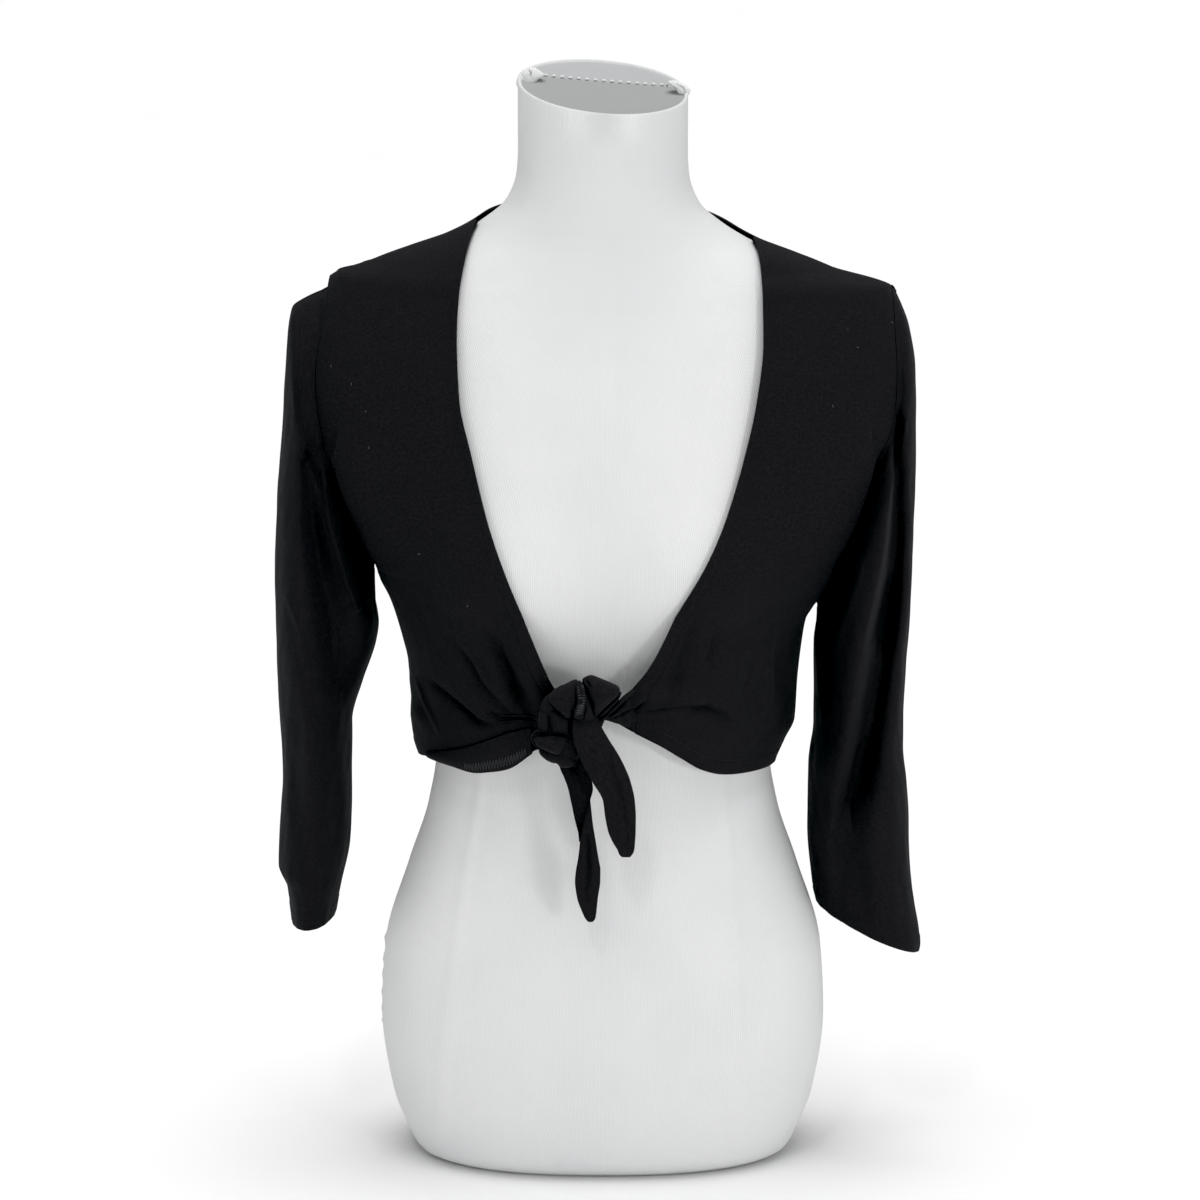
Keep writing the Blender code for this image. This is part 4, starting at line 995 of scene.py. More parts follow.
def zigzag(name, low, high, normals, finish, pitch=0.0016, thick=0.00045):
    """The looped under side of a cover stitch: threads that cross between two paths."""
    places = spaced(low, pitch)
    bottom, top, normal = along(low, places), along(high, places), unit(along(normals, places))
    starts = np.concatenate((bottom[:-1], top[:-1]))
    ends = np.concatenate((top[:-1], bottom[1:]))
    return strokes(name, starts, ends, np.concatenate((normal[:-1], normal[:-1])), thick, finish)


# ---- the shrug's panels ----
FRONT_COLUMNS, FRONT_ROWS = 132, 236
BACK_COLUMNS, BACK_ROWS = 118, 214
SLEEVE_COLUMNS, SLEEVE_ROWS = 156, 212
SLEEVE_HEAD_DIP = {RIGHT: 0.0085, LEFT: 0.0}    # how far the sleeve sags beside the shoulder's end
FRONT_PHASE = {RIGHT: 0.7, LEFT: 2.9}
NECK_STANDS_OFF = 0.0020        # the neckline stands this far off the form
NECK_COLUMNS, NECK_BAND = 0.16, 0.065   # this share of the columns lies in this share of a front's width
FRONT_WIDTH = 0.165     # of a front laid flat
SLEEVE_LENGTH = 0.36
WORN = {"front": 0.0007, "back": 0.0008, "sleeve": 0.0010, "knot": 0.0005}    # height of low waves


def front_column(u):
    """Columns crowd at the neckline, where the turned edge's stitches lie."""
    return np.interp(u, (0, NECK_COLUMNS, 1), (0, NECK_BAND, 1))


def front_skin(side, u, v):
    """A front with its turned neckline and hem and a soft, worn unevenness."""
    share = front_column(u)
    points = front_point(side, share, v)
    away = unit(points * (1, 1, 0))
    from_neck = share * FRONT_WIDTH
    from_hem = np.abs(points[:, 2] - front_point(side, share, np.zeros(len(v)))[:, 2])
    relief = edge_relief(from_neck, NECK_TURNING)
    if side == LEFT:
        relief = relief + 0.6 * edge_relief(from_hem, HEM_TURNING)
    waves = ripple(points[:, 0], points[:, 2], FRONT_PHASE[side]) * ease(share * 12) * ease((1 - share) * 12)
    relief = relief + WORN["front"] * waves + NECK_STANDS_OFF * (1 - ease(from_neck / 0.022))
    return points + away * relief[:, None]


def panel(name, node, size, skin, cloth_map, finish, outwards=True, closed=None):
    """A cloth piece: its grid placed by the skin, mapped, closed round an axis if given, and thickened."""
    mesh, u, v = grid(name, *size)
    place_corners(mesh, skin(u, v))
    set_cloth_map(mesh, *cloth_map(u, v))
    if closed:
        close_round(mesh)
    face_away(mesh, closed or (0, 0))
    piece = shown(name, mesh, finish, "jersey", node)
    give_wall(piece, outwards)
    return piece


def front_panel(side, finish):
    name = "front_right" if side == RIGHT else "front_left"
    return panel(name + "_cloth", name, (FRONT_COLUMNS, FRONT_ROWS), partial(front_skin, side),
                 lambda u, v: (front_column(u) * 0.175, row_at(v) / ROWS * 0.44), finish)


def back_skin(u, v):
    points = back_point(u, v)
    away = unit(points * (1, 1, 0))
    from_hem = np.abs(points[:, 2] - back_point(u, np.zeros(len(v)))[:, 2])
    relief = edge_relief(from_hem, BACK_HEM_ROWS[0])
    waves = ripple(points[:, 0], points[:, 2], 1.6) * ease(8 * (1 - np.abs(2 * u - 1)))
    relief = relief + WORN["back"] * waves
    return points + away * relief[:, None]


def back_panel(finish):
    return panel("back_cloth", "back", (BACK_COLUMNS, BACK_ROWS), back_skin,
                 lambda u, v: (u * 0.40, row_at(v) / ROWS * 0.40), finish)


def sleeve_axis(side, v):
    """Where the middle of the sleeve's ring lies, seen from above."""
    outer_x, _, inner_x, _ = sleeve_frame(side, np.array(v))
    return side * (outer_x + inner_x) / 2


def sleeve_skin(side, u, v):
    points = sleeve_point(side, u, v)
    away = unit(points[:, :2] - np.stack((sleeve_axis(side, v), np.zeros(len(u))), axis=-1))
    relief = edge_relief((1 - v) * SLEEVE_LENGTH, CUFF_TURNING)
    waves = ripple(1.4 * u * 0.26, 0.6 * points[:, 2], 4.4 * side) * ease((v - 0.04) * 8)
    relief = relief + WORN["sleeve"] * waves
    points[:, :2] += away * relief[:, None]
    sag = bump_at(2 * math.pi * u - math.pi, 0.9) * ease(v / 0.009) * (1 - ease((v - 0.012) / 0.040))
    points[:, 2] -= SLEEVE_HEAD_DIP[side] * sag
    return points


def sleeve(side, finish):
    name = "sleeve_right" if side == RIGHT else "sleeve_left"
    return panel(name + "_cloth", name, (SLEEVE_COLUMNS, SLEEVE_ROWS),
                 lambda u, v: sleeve_skin(side, u % 1.0, 1 - v), lambda u, v: (u * 0.25, v * 0.40), finish,
                 outwards=False, closed=(float(sleeve_axis(side, 0.6)), 0))


def hem_point(u, v):
    """Points on the flipped hem of the right front, v from its fold up to its free edge."""
    inner, outer = TURNED_HEM["across"][0], TURNED_HEM["across"][-1]
    across = inner + (outer - inner) * u
    top = smooth(TURNED_HEM, "top", across, "across")
    bottom = smooth(TURNED_HEM, "bottom", across, "across")
    height = bottom + (top - bottom) * v
    angle = angle_at(RIGHT, FRONT, across, height)
    swell = 0.0025 * np.sin(math.pi * v) * np.sin(math.pi * (0.15 + 0.7 * u))
    radius = cloth_radius(RIGHT, FRONT, angle, height) + (WALL + GAP) * 1.12 + 0.0003 + swell
    return points_at(RIGHT, angle, radius, height)


def flipped_hem(finish):
    return panel("flipped_hem", "hem_turn_right", (110, 28), hem_point,
                 lambda u, v: (u * 0.09, v * 0.02), finish)


# ---- sewing on the panels ----
LINT = {            # where light fibres lie on the fronts: across and height
    RIGHT: ((183.2, 564), (169, 554), (159, 537), (101, 637), (112, 650), (157, 513), (90, 412), (123, 443)),
    LEFT: ((164, 595), (171, 583), (196, 598), (154, 544)),
}
LINT_HALF, LINT_THICK = 0.0011, 0.00028
HEM_OVERLOCK = (0.10, 0.40)     # the overlocked band's edges, as shares of the flipped hem's height
HEM_ROLLS = {       # pulled rolls of cloth above the flipped hem: across and height
    "hem_roll_upper": ((70, 334.6), (67.5, 335.1), (56.1, 336.5), (44.6, 337.2)),
    "hem_roll_lower": ((71.5, 330.5), (68.9, 330.9), (56.1, 333), (44.6, 333.7)),
}


def on_front(side, across, height, lift=0.0):
    """Points on a front's outer face."""
    across, height = np.asarray(across, float), np.asarray(height, float)
    angle = angle_at(side, FRONT, across, height)
    radius = cloth_radius(side, FRONT, angle, height) + WALL + lift
    return points_at(side, angle, radius, height)


def hem_place(side, u, distance):
    """How far up a front (as v) its turned hem's stitches lie."""
    share = front_column(u)
    hem = front_point(side, share, np.zeros(len(u)))[:, 2]
    up = TIE_TOP + (UNDERARM[side] - TIE_TOP) * share
    return np.interp(distance * SKIRT_ROWS / (up - hem), ROW_PLACES["row"], ROW_PLACES["share"])


def along_edge(name, skin, u, v, finish, axis=(0, 0), wall=WALL, lift=0.0, **stitches):
    """A row of stitches at places on a panel's outer face."""
    u, v = np.broadcast_arrays(np.asarray(u, float), np.asarray(v, float))
    stitch_row(name, *outside(skin, u, v, lift, wall, axis), finish, **stitches)


def side_sewing(side, name, black_thread, lint):
    """The neckline's and the cuff's stitches and the lint of one side."""
    neckline = NECK_COLUMNS * NECK_TURNING / FRONT_WIDTH / NECK_BAND
    along_edge("neck_stitches_" + name, partial(front_skin, side), neckline, np.linspace(0.12, 0.985, 300),
               black_thread)
    cuff = 1 - CUFF_TURNING / SLEEVE_LENGTH
    along_edge("cuff_stitches_" + name, partial(sleeve_skin, side), np.linspace(0.004, 0.996, 260), cuff,
               black_thread, axis=(float(sleeve_axis(side, cuff)), 0), wall=0.0)
    at = np.array(LINT[side]) * MM
    spin = np.arange(len(at)) * 2.4 + side
    way = np.stack((np.cos(spin), np.zeros(len(at)), np.sin(spin)), axis=-1) * LINT_HALF
    spot = on_front(side, at[:, 0], at[:, 1], 0.0010)
    strokes("lint_" + name, spot - way, spot + way, unit(spot * (1, 1, 0)), LINT_THICK, lint)


def sewing(jersey_finish, black_thread, grey_thread_and_highlight, lint):
    """Rows of stitches along the turned edges, the overlocked edge of the flipped hem, a painted highlight of
    grey thread along that hem's free edge, and lint.
    """
    side_sewing(RIGHT, "right", black_thread, lint)
    side_sewing(LEFT, "left", black_thread, lint)
    u = np.linspace(0.10, 0.99, 240)
    along_edge("hem_stitches_left", partial(front_skin, LEFT), u, hem_place(LEFT, u, HEM_TURNING),
               black_thread)
    for number, distance in enumerate(BACK_HEM_ROWS):
        along_edge("back_hem_stitches_%d" % (number + 1), back_skin, np.linspace(0.01, 0.99, 420),
                   HEM_SHARE * distance / BACK_HEM_ROWS[0], black_thread)
    u = np.linspace(0.03, 0.66, 200)
    (low, normal), (high, _) = (outside(hem_point, u, np.full(len(u), v), lift=0.0002) for v in HEM_OVERLOCK)
    zigzag("flipped_hem_overlock", low, high, normal, grey_thread_and_highlight, pitch=0.0026, thick=0.00050)
    # painted highlight: overlapping strokes of lighter grey thread along the flipped hem's free edge paint
    # the light on its fold
    along_edge("flipped_hem_painted_highlight", hem_point, np.linspace(0.02, 0.98, 240), 0.985, grey_thread_and_highlight, lift=-0.0003,
               pitch=0.0018, length=0.0022, thick=0.0007)
    for name, line in HEM_ROLLS.items():
        across, height = np.array(line).T * MM
        roll(name, on_front(RIGHT, across, height, 0.0006), 0.0008, jersey_finish, "front_right")


# ---- the knot ----
# A piece has where its rim lies from front to back, its swell ahead and behind, the slope of its rim
# across, its outline seen from the front and its creases.
KNOT_PIECES = {
    "knot_core": (-130.6, 8, 11, 0, (
        (-40.5, 352.8), (-42.3, 341.7), (-42.3, 328.8), (-41.5, 319.5), (-32.4, 313.1),
        (-19.8, 310.3), (-9, 321.4), (-1.7, 332.5), (1.9, 340.8), (7.3, 350),
        (10, 358.3), (1.9, 362.9), (-8.9, 366.6), (-19.7, 362.9), (-32.4, 359.3)), ()),
    "knot_top_loop": (-136, 9.5, 12, 0, (
        (-35.4, 358.2), (-36.2, 354.3), (-33.2, 350.5), (-29.6, 346.2), (-25.6, 342.2),
        (-21.7, 341.5), (-19.5, 345.1), (-16, 349), (-14, 356), (-14, 364),
        (-17, 367.6), (-19.2, 368), (-22.8, 366.3), (-26.4, 364.6), (-30, 363),
        (-33.4, 360.6)), (
            (((-22.8, 342.4), (-20.6, 345.2), (-20, 349)), 0.6, 0.8, -2),
            (((-32, 356), (-27, 350), (-24, 345)), 1.4, 1.4, -0.6))),
    "knot_overlocked_edge": (-140.5, 7, 7, 0, (
        (-17.6, 367.6), (-18, 362.3), (-17.4, 355), (-19.6, 348.5), (-19.5, 343.5),
        (-16.1, 342.2), (-13.2, 342.9), (-11.4, 348.6), (-10.5, 355.9), (-11.4, 360.5),
        (-13, 365.1), (-15.2, 368.5)), ()),
    "knot_top_fold": (-135.5, 9.2, 12, 0, (
        (-14.1, 367.9), (-11.2, 370.2), (-8, 371.1), (-4.9, 370.1), (1.8, 367.3),
        (7.2, 365), (10.6, 363), (11.4, 359.9), (9.2, 356.2), (3.6, 351),
        (-1.7, 345.8), (-5.7, 341.5), (-7.8, 343.5), (-8, 348.8), (-9.2, 353.9),
        (-11.6, 358.9), (-13, 364)), (
            (((-11.3, 363.7), (-8.7, 355), (-7, 350.4), (-6.7, 343.5)), 0.6, 0.8, -1.6),
            (((-12.2, 369), (-10.7, 367.4), (-8.6, 365)), 0.8, 0.6, -4),
            (((0, 366), (6, 360), (7.5, 357)), 1.6, 1.6, -0.6))),
    "knot_middle": (-138.5, 6.6, 7, 0, (
        (-12.5, 360), (-10, 357), (-8, 352.5), (-6.4, 347.9), (-5.6, 341),
        (-9.7, 339.2), (-13.5, 340), (-13.4, 347.9), (-13, 355)), ()),
    "knot_wrap_edge": (-130, 8.5, 8.5, 0, (
        (-42, 345.6), (-36.6, 345.8), (-35, 341.7), (-35.2, 336.2), (-36.4, 330.3),
        (-41.9, 329.9), (-43.2, 333.4), (-43.4, 340.8)), ()),
    "knot_wrap": (-131.4, 10.4, 9, 0, (
        (-36.8, 346.1), (-36.2, 341), (-35, 331.1), (-28.8, 330.5), (-22.1, 330.9),
        (-20.4, 336.4), (-20.6, 342.3), (-24, 345), (-29.6, 348), (-33.7, 348.6)), (
            (((-33, 345), (-32, 333)), 1.4, 1.4, -0.5),)),
    "knot_lower_fold": (-132.5, 11.2, 9, 0, (
        (-47.5, 328.8), (-46.4, 325.1), (-43.9, 322), (-37.8, 318.7), (-31.7, 316.5),
        (-28.2, 317.7), (-24.3, 324.2), (-21.9, 329.3), (-26.1, 331.4), (-34.2, 331.4),
        (-39.6, 330.1), (-44.1, 329.4)), (
            (((-42, 327.5), (-34, 323), (-30, 320)), 1, 1.2, -0.9),)),
    "knot_under": (-128.5, 8, 8, 0, (
        (-43.3, 317), (-39.7, 312.4), (-35.1, 309.8), (-31.1, 309), (-28.8, 306.6),
        (-24.3, 306.1), (-18.9, 307.6), (-16.9, 312.4), (-19.4, 317.9), (-24.3, 323.6),
        (-28.8, 322), (-35.1, 320), (-41, 321)), ()),
    "knot_gather": (-123.2, 4.6, 8, 1, (
        (-2.2, 340.9), (1.9, 339.8), (7.3, 337), (12.7, 334.2), (19.7, 330.6),
        (22.2, 339.2), (23.5, 348.5), (23.6, 358.6), (18.6, 356.6), (12.7, 352.9),
        (7.3, 348.8), (2.5, 344.6)), (
            (((0.1, 340.1), (10.9, 347.5), (20.8, 355.1)), 0.8, 1.4, -2.4),
            (((1.9, 339.7), (10.9, 342), (20.8, 345.5)), 0.7, 1.4, -2.2),
            (((3.7, 338.8), (11.8, 338.3), (20.8, 339.2)), 0.8, 1.2, -0.8))),
}
NECK_CORNERS = {    # the same, for the cover's folded corners at both ends of the neck cap's seam
    "neck_corner_left": (6, 4, 5, 0, (
        (-59.2, 754), (-58.4, 760), (-54.5, 765), (-49, 766.8), (-44, 764.8),
        (-40, 761.2), (-44.5, 758), (-48, 753.5), (-52, 750)), (
            (((-51.2, 765), (-49.2, 763.2), (-49.9, 760.2)), 0.5, 0.6, -3),
            (((-56, 762), (-54, 759), (-54.5, 755)), 0.8, 1, -1))),
    "neck_corner_right": (4, 3.8, 5, 0, (
        (44, 756.5), (49, 758), (54.1, 756), (59.2, 752.6), (59.8, 749.2),
        (56.5, 746.5), (52, 748), (49, 752.5)), (
            (((50, 755.6), (54.8, 752.9), (56.8, 748.1)), 0.5, 0.7, -2.2),)),
}
KNOT_ROLLS = {      # name: places (across, forward, height) and half thickness
    "knot_roll_upper": (((-6, -137.2, 340.4), (-1.7, -137.2, 344), (3.6, -136.8, 348.9),
                         (9, -135, 354.1), (12.2, -131, 359)), 1.5),
    "knot_roll_lower": (((-0.7, -133.5, 341.2), (4.6, -133, 345.6), (10, -131, 350.4),
                         (15.4, -127.8, 354.7), (22.2, -123.6, 359)), 1.7),
    "knot_side_loop": (((-42.5, -136, 334), (-46.2, -136.8, 332.2), (-47.8, -136.8, 328.8),
                        (-46.8, -136.8, 325), (-43.6, -136.2, 322.2)), 0.8),
}
FULLNESS = 0.75         # below 1 a lobe fills out towards its outline, as rolled cloth does


def spline(a, b, c, d, t):
    """A smooth curve from b to c, with a before them and d after them."""
    return 0.5 * (2 * b + (c - a) * t + (2 * a - 5 * b + 4 * c - d) * t ** 2
                  + (3 * b - a - 3 * c + d) * t ** 3)


def rounded(outline, count=120):
    """A smooth closed line through an outline's points."""
    corner = np.array(outline, float)
    steps = count // len(corner)
    t = (np.arange(steps) / steps)[None, :, None]
    return spline(*(np.roll(corner, shift, 0)[:, None] for shift in (1, 0, -1, -2)), t).reshape(-1, 2)


def soft_curve(places, count):
    """A smooth line through places in space."""
    places = np.array(places, float)
    padded = np.concatenate((2 * places[:1] - places[1:2], places, 2 * places[-1:] - places[-2:-1]))
    at = np.linspace(0, len(places) - 1 - 1e-6, count)
    i = at.astype(int)
    return spline(*(padded[i + k] for k in range(4)), (at % 1)[:, None])


def lobe(rim, ahead, behind, slope, outline, creases):
    """A knot piece in metres, with its outline's middle and how far the outline lies from it at a turn."""
    across, height = rounded(outline).T * MM
    middle = across.mean(), height.mean()
    turns = np.arctan2(height - middle[1], across - middle[0])
    reach = np.hypot(across - middle[0], height - middle[1])
    order = np.argsort(turns)

    def edge(turn):
        return np.interp(turn, turns[order], reach[order], period=2 * math.pi)

    return rim * MM, ahead * MM, behind * MM, slope, creases, middle, edge


def knot_piece(name, shape, finish, slot="jersey", node="tie_knot"):
    """A rounded fold of cloth with its outline seen from the front."""
    rim, ahead, behind, slope, creases, middle, edge = lobe(*shape)
    mesh = started(name, bmesh.ops.create_uvsphere, u_segments=72, v_segments=44, radius=1)
    x, y, z = read(mesh.vertices, "co", 3).T
    turn = np.arctan2(y, x)
    away = np.hypot(x, y) ** FULLNESS * edge(turn)
    px, pz = middle[0] + away * np.cos(turn), middle[1] + away * np.sin(turn)
    relief = crease(creases, px, pz) + WORN["knot"] * ripple(2.4 * px, 2.4 * pz, 9.1)
    forward = z * np.where(z > 0, ahead, behind) + relief * np.clip(z, 0, 1) ** 0.5
    place_corners(mesh, np.stack((px, rim + slope * (px - middle[0]) - forward, pz), axis=-1))
    set_cloth_map(mesh, px, pz + forward)
    close_round(mesh, solid=True)
    return shown(name, mesh, finish, slot, node)


def on_lobe(shape, x, z):
    """How far forward a knot piece's front lies at places seen from the front."""
    rim, ahead, _, slope, _, middle, edge = lobe(*shape)
    limit = edge(np.arctan2(z - middle[1], x - middle[0]))
    share = np.clip(np.hypot(x - middle[0], z - middle[1]) / limit, 0, 0.985) ** (1 / FULLNESS)
    return rim + slope * (x - middle[0]) - ahead * np.sqrt(1 - share ** 2)


OVERLOCK_LINE = ((-15.2, 366.8), (-14.5, 362.3), (-14.3, 355.9), (-15.6, 349.5), (-16.4, 344.4))
OVERLOCK_HALF, OVERLOCK_LIFT = 0.0026, 0.0016


def knot_overlock(finish):
    """The overlocked edge that shows down the knot's middle."""
    path = soft_curve(OVERLOCK_LINE, 60) * MM
    sides = []
    for shift in (-OVERLOCK_HALF, OVERLOCK_HALF):
        x, z = path[:, 0] + shift, path[:, 1]
        y = on_lobe(KNOT_PIECES["knot_overlocked_edge"], x, z) - OVERLOCK_LIFT
        sides.append(np.stack((x, y, z), axis=-1))
    forward = np.tile((0.0, -1.0, 0.0), (len(path), 1))
    zigzag("knot_overlock", *sides, forward, finish, pitch=0.0018, thick=0.0006)


def roll(name, places, half_thick, finish, node="tie_knot"):
    """A rolled edge of cloth along a line, tapering at both ends."""
    rows = 60
    mesh, u, v = grid(name, 16, rows)
    line = soft_curve(places, rows + 1)
    way = unit(np.gradient(line, axis=0))
    beside = unit(np.cross(way, (0.0, -1.0, 0.0)))
    ahead = np.cross(beside, way)
    row = np.rint(v * rows).astype(int)
    thick = half_thick * np.sqrt(np.clip(1 - np.abs(2 * v - 1) ** 6, 0, 1)) * (0.9 + 0.1 * np.sin(19 * v))
    c, s = (thick * wave(2 * math.pi * u) for wave in (np.cos, np.sin))
    place_corners(mesh, line[row] + beside[row] * c[:, None] + ahead[row] * s[:, None])
    set_cloth_map(mesh, u * 0.006, v * 0.03)
    close_round(mesh, solid=True)
    return shown(name, mesh, finish, "jersey", node)


# ---- the hanging ends ----
FRONT_END = table(      # edges seen from the front, and how far forward the end hangs
    "height left right forward thick",
    (245.5, 12.5, 18.5, -135, 2), (247.5, 10.8, 20, -135.1, 3),
    (250, 10, 21.1, -135.5, 3.6), (256, 6.6, 21.7, -136.2, 4.2),
    (264, 3.4, 22.1, -137.1, 4.6), (274.4, 1.4, 22.2, -138.4, 4.8),
    (285.5, 0, 21.5, -140.1, 5), (299.3, -7.2, 18.6, -141.8, 5.2),
    (309.6, -12.7, 14.7, -142.5, 5.4), (319.7, -17, 9.5, -142.8, 5.6),
    (328.2, -19.7, 4.2, -142.8, 5.6), (337, -20.7, -0.8, -142.4, 5.6),
    (343, -20.5, -3.6, -140, 5), (350, -19.5, -6, -137, 4),
)
REAR_UPPER = table(     # the leaf that comes out of the knot, its inner face forward
    "height left right forward thick",
    (254, -16.2, -14.6, -127, 2), (259.4, -16.6, -14, -127.4, 3),
    (264.1, -17.7, -13, -127.6, 3.8), (268.8, -18.9, -11.9, -127.8, 4.2),
    (273.4, -19.9, -10.8, -127.8, 4.4), (278.1, -20.8, -9.6, -127.8, 4.4),
    (283.7, -22, -8.4, -127.7, 4.4), (291.1, -23.6, -6.7, -127.6, 4.6),
    (298.6, -26.2, -8, -127.5, 5), (306, -29.3, -11.6, -127.2, 5.4),
    (313, -31, -15, -126.8, 6),
)
REAR_LOWER = table(     # the same end turned over, its outer face forward
    "height left right forward thick",
    (197.9, -10.2, -6.8, -126.2, 2.2), (200, -12, -5.2, -126.3, 3),
    (204.9, -14.2, -4.4, -126.6, 3.8), (214.8, -17.6, -3.4, -126.9, 4.4),
    (226.7, -19, -1.8, -127.2, 4.6), (235.1, -18.2, -1.7, -127.6, 4.6),
    (240.7, -17.2, -2.6, -128, 4.4), (248.2, -16.2, -3.9, -128.4, 4.4),
    (255.2, -15.5, -4.9, -128.9, 4.2), (259.4, -14.8, -5.6, -129.2, 4),
    (264.1, -13.7, -6.4, -129.4, 3.8), (268.8, -12.6, -7, -129.4, 3.6),
    (273.4, -11.5, -7.5, -129.2, 3.2), (278.1, -10.3, -8, -129, 2.6),
    (283.7, -9.2, -8.6, -128.6, 1.6),
)


def oval_section(turn, half_width, half_thick, squareness=0.72):
    """A flat oval with full edges: (across, forward) for each turn round it."""
    across, forward = (np.sign(wave) * np.abs(wave) ** squareness for wave in (np.cos(turn), np.sin(turn)))
    return half_width * across, half_thick * forward


END_ROWS, CLOSING_ROWS = 150, 6     # rows of a strip, and how many close it at each end


def leaf(name, node, rows, relief, finish):
    """A pressed strip of cloth, closed all round, between a left and a right edge seen from the front."""
    mesh, u, v = grid(name, 56, END_ROWS)
    low, high = rows["height"][0], rows["height"][-1]
    row = v * END_ROWS
    share = np.clip((row - CLOSING_ROWS) / (END_ROWS - 2 * CLOSING_ROWS), 0, 1)
    height = low + (high - low) * share ** 1.15
    closing = np.minimum(np.minimum(row, END_ROWS - row) / CLOSING_ROWS, 1)
    closing = np.sqrt(np.clip(1 - (1 - closing) ** 2, 0, 1))
    left, right, forward, thick = (smooth(rows, each, height)
                                   for each in ("left", "right", "forward", "thick"))
    half = (right - left) / 2
    x, y = oval_section(2 * math.pi * u, half * closing, thick / 2 * closing)
    lift = relief(x + left + half, x / np.maximum(half, 1e-4), height) * closing
    lift = lift + WORN["knot"] * ripple(2 * x, height, 6.0)
    place_corners(mesh, np.stack((x + left + half, forward + y - lift * (y < 0), height), axis=-1))
    set_cloth_map(mesh, height, u * 0.04)
    close_round(mesh, solid=True)
    return shown(name, mesh, finish, "jersey", node)


FRONT_END_FOLDS = (     # a seam down its middle, and a soft ridge and trough beside it
    (((4.5, 320.7), (6.3, 309.6), (10.8, 298.6), (13.5, 283.6), (15.4, 274.4), (16.2, 255.7)),
     0.9, 1.1, -1.6),
    (((7.5, 318), (9.8, 308), (13.8, 298), (16.6, 283), (18.4, 270)), 1.8, 2, 0.9),
    (((-15, 340), (-11, 324), (-2, 306)), 2.2, 2, -0.7),
)
REAR_LOWER_FOLDS = (
    (((-10.5, 260), (-9.5, 240), (-11, 215)), 1.2, 1.4, -3),
    (((-6, 250), (-6, 220)), 1.8, 1.8, 0.8),
)
REAR_CUP = 0.0042       # how deep the rear end is cupped above its half twist


def tie_ends(finish):
    """The end that hangs in front, pressed nearly flat, and the one behind: cupped, then turned over."""
    return (leaf("tie_end_front_cloth", "tie_end_front", FRONT_END,
                 lambda x, t, z: crease(FRONT_END_FOLDS, x, z), finish),
            leaf("tie_end_rear_upper", "tie_end_rear", REAR_UPPER,
                 lambda x, t, z: -REAR_CUP * np.clip(1 - t ** 2, 0, 1) ** 0.6, finish),
            leaf("tie_end_rear_lower", "tie_end_rear", REAR_LOWER,
                 lambda x, t, z: crease(REAR_LOWER_FOLDS, x, z), finish))


# ---- stage ----
BLACK_POINT = (0.0108, 0.0093, 0.0104)  # the exposure's darkest and lightest tone
WHITE_POINT = 0.98
STUDIO_GLOW = 0.30      # light from all round
OVERHEAD, OVERHEAD_SPREAD = 2.35, 50
SOFT_LIGHTS = {         # place, aim, size and power
    "key": ((1.70, -2.35, 0.45), (0, 0, 0.42), 0.45, 14),
    "front": ((0.35, -2.90, 0.35), (0, 0, 0.40), 1.0, 4),
    "left": ((-1.90, -2.00, 0.25), (0, 0, 0.35), 0.5, 3),
    "upper": ((-0.55, -2.15, 2.55), (0, 0, 0.40), 0.25, 6),
}
CAMERA_PLACE, CAMERA_AIM, CAMERA_LENS = (-0.002, -2.945, 0.972), (-0.002, 0, 0.396), 128.6


def floor_disc(finish):
    mesh = started("floor", bmesh.ops.create_circle, cap_ends=True, segments=96, radius=60)
    mesh.materials.append(finish)
    floor = bpy.data.objects.new("floor", mesh)
    floor.location.z = -0.0005
    bpy.context.collection.objects.link(floor)


def stood(name, data, place, aim=None):
    """A light or camera at its place, turned to what it aims at."""
    made = bpy.data.objects.new(name, data)
    made.location = place
    if aim:
        made.rotation_euler = (Vector(aim) - Vector(place)).to_track_quat("-Z", "Y").to_euler()
    bpy.context.collection.objects.link(made)
    return made


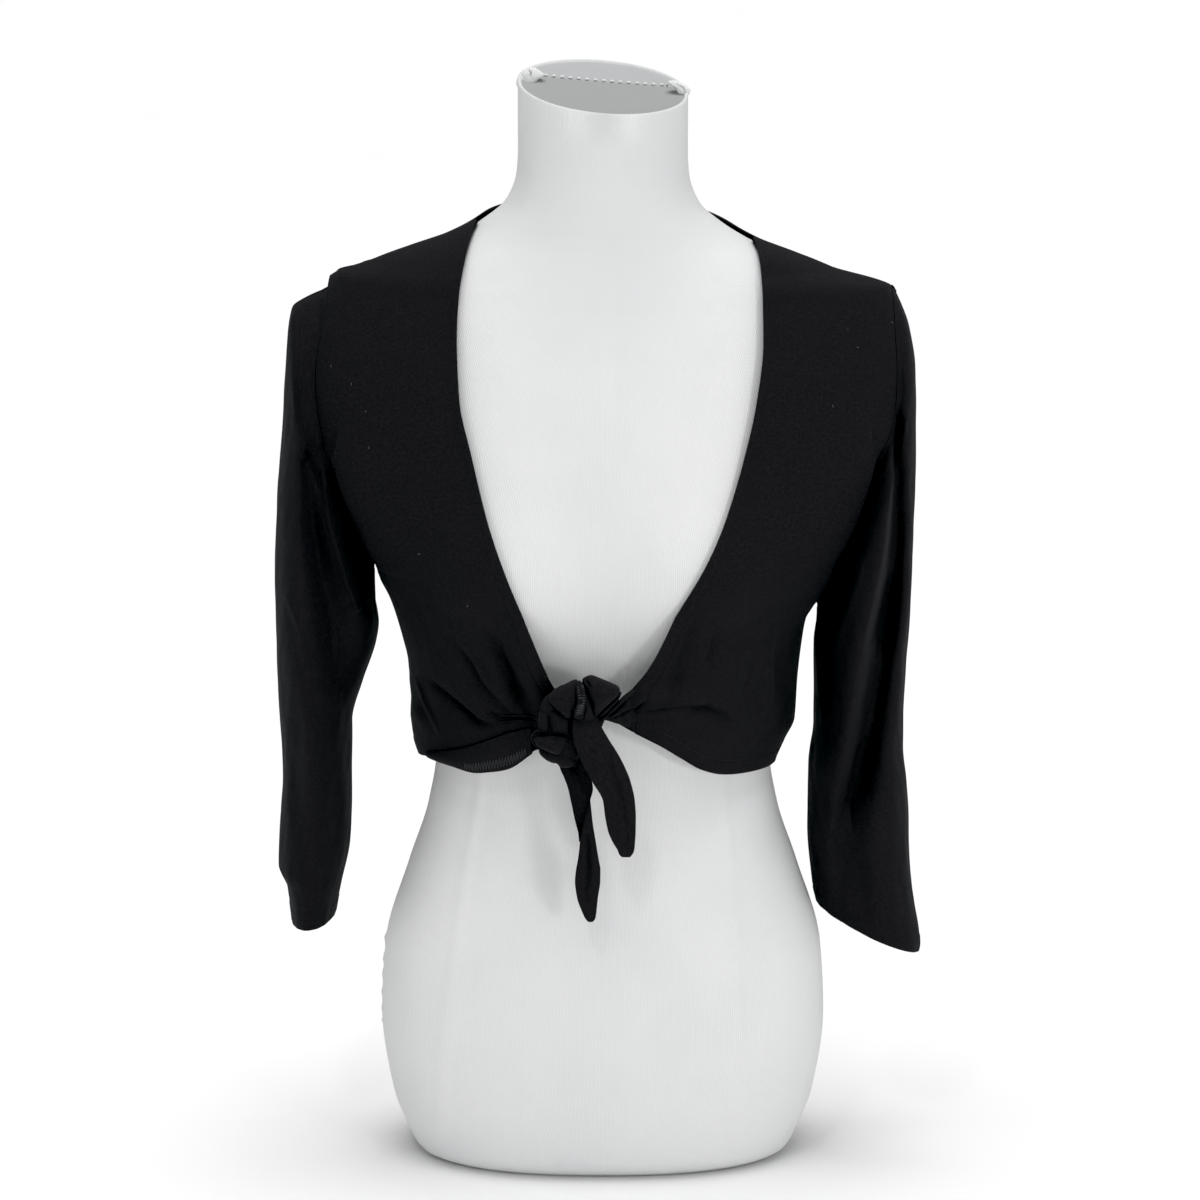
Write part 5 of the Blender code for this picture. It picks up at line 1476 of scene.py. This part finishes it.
def stage():
    scene = bpy.context.scene
    tones = scene.view_settings
    tones.view_transform = "Standard"
    tones.use_curve_mapping = True
    tones.curve_mapping.black_level = BLACK_POINT
    tones.curve_mapping.white_level = (WHITE_POINT,) * 3
    tones.curve_mapping.update()
    world = bpy.data.worlds.new("studio")
    world.use_nodes = True
    world.node_tree.nodes["Background"].inputs["Color"].default_value = (1, 1, 1, 1)
    world.node_tree.nodes["Background"].inputs["Strength"].default_value = STUDIO_GLOW
    scene.world = world
    floor_disc(plain_floor("floor_paint"))
    overhead = bpy.data.lights.new("overhead", "SUN")
    overhead.energy, overhead.angle = OVERHEAD, math.radians(OVERHEAD_SPREAD)
    stood("overhead", overhead, (0, 0, 3))
    for name, (place, aim, size, power) in SOFT_LIGHTS.items():
        light = bpy.data.lights.new(name, "AREA")
        light.shape, light.size, light.energy = "DISK", size, power
        stood(name, light, place, aim)
    camera = bpy.data.cameras.new("camera")
    camera.lens, camera.sensor_width, camera.clip_end = CAMERA_LENS, 36, 200
    scene.camera = stood("camera", camera, CAMERA_PLACE, CAMERA_AIM)


# ---- everything together ----
stage()
black = jersey("black_jersey", (0.0126, 0.0115, 0.0135), (0.0183, 0.0167, 0.0196))
black_thread = thread("black_thread", (0.020, 0.020, 0.024))
white_thread = thread("white_thread", (0.92, 0.92, 0.92))
# grey thread for the flipped hem's overlock, and for a painted highlight along that hem's free edge
grey_thread_and_highlight = thread("grey_thread_and_highlight", (0.036, 0.036, 0.039))
lint = thread("lint", (0.17, 0.17, 0.17))
form_cover = form_knit("white_form_knit")
dress_form(form_cover)
# the neck cap's grey is painted shade on the white cover
neck_cap(cap_cloth("cap_cloth_painted_shade"), white_thread)
for piece_name, shape in NECK_CORNERS.items():
    knot_piece(piece_name, shape, form_cover, "form_cover", "dress_form")
# painted shade: a small black mark on the cap stands for the pin hole's shaded inside
pin_hole_painted_shade = np.array(((*PIN_HOLE, tilted(*PIN_HOLE, NECK_TOP) + 0.0002),))
strokes("pin_hole_painted_shade", pin_hole_painted_shade, pin_hole_painted_shade + (0.0012, 0, 0.0006), np.array(((0.0, 0.0, 1.0),)), 0.0011,
        black_thread, "cap_cloth")

panels = {
    "back": back_panel(black),
    "front_right": front_panel(RIGHT, black),
    "front_left": front_panel(LEFT, black),
    "sleeve_right": sleeve(RIGHT, black),
    "sleeve_left": sleeve(LEFT, black),
    "flipped_hem": flipped_hem(black),
}
for piece_name, shape in KNOT_PIECES.items():
    knot_piece(piece_name, shape, black)
for piece_name, (places, half_thick) in KNOT_ROLLS.items():
    roll(piece_name, np.array(places) * MM, half_thick * MM, black)
knot_overlock(thread("pale_thread", (0.050, 0.050, 0.053)))
sewing(black, black_thread, grey_thread_and_highlight, lint)
front_tie, *rear_ties = tie_ends(black)
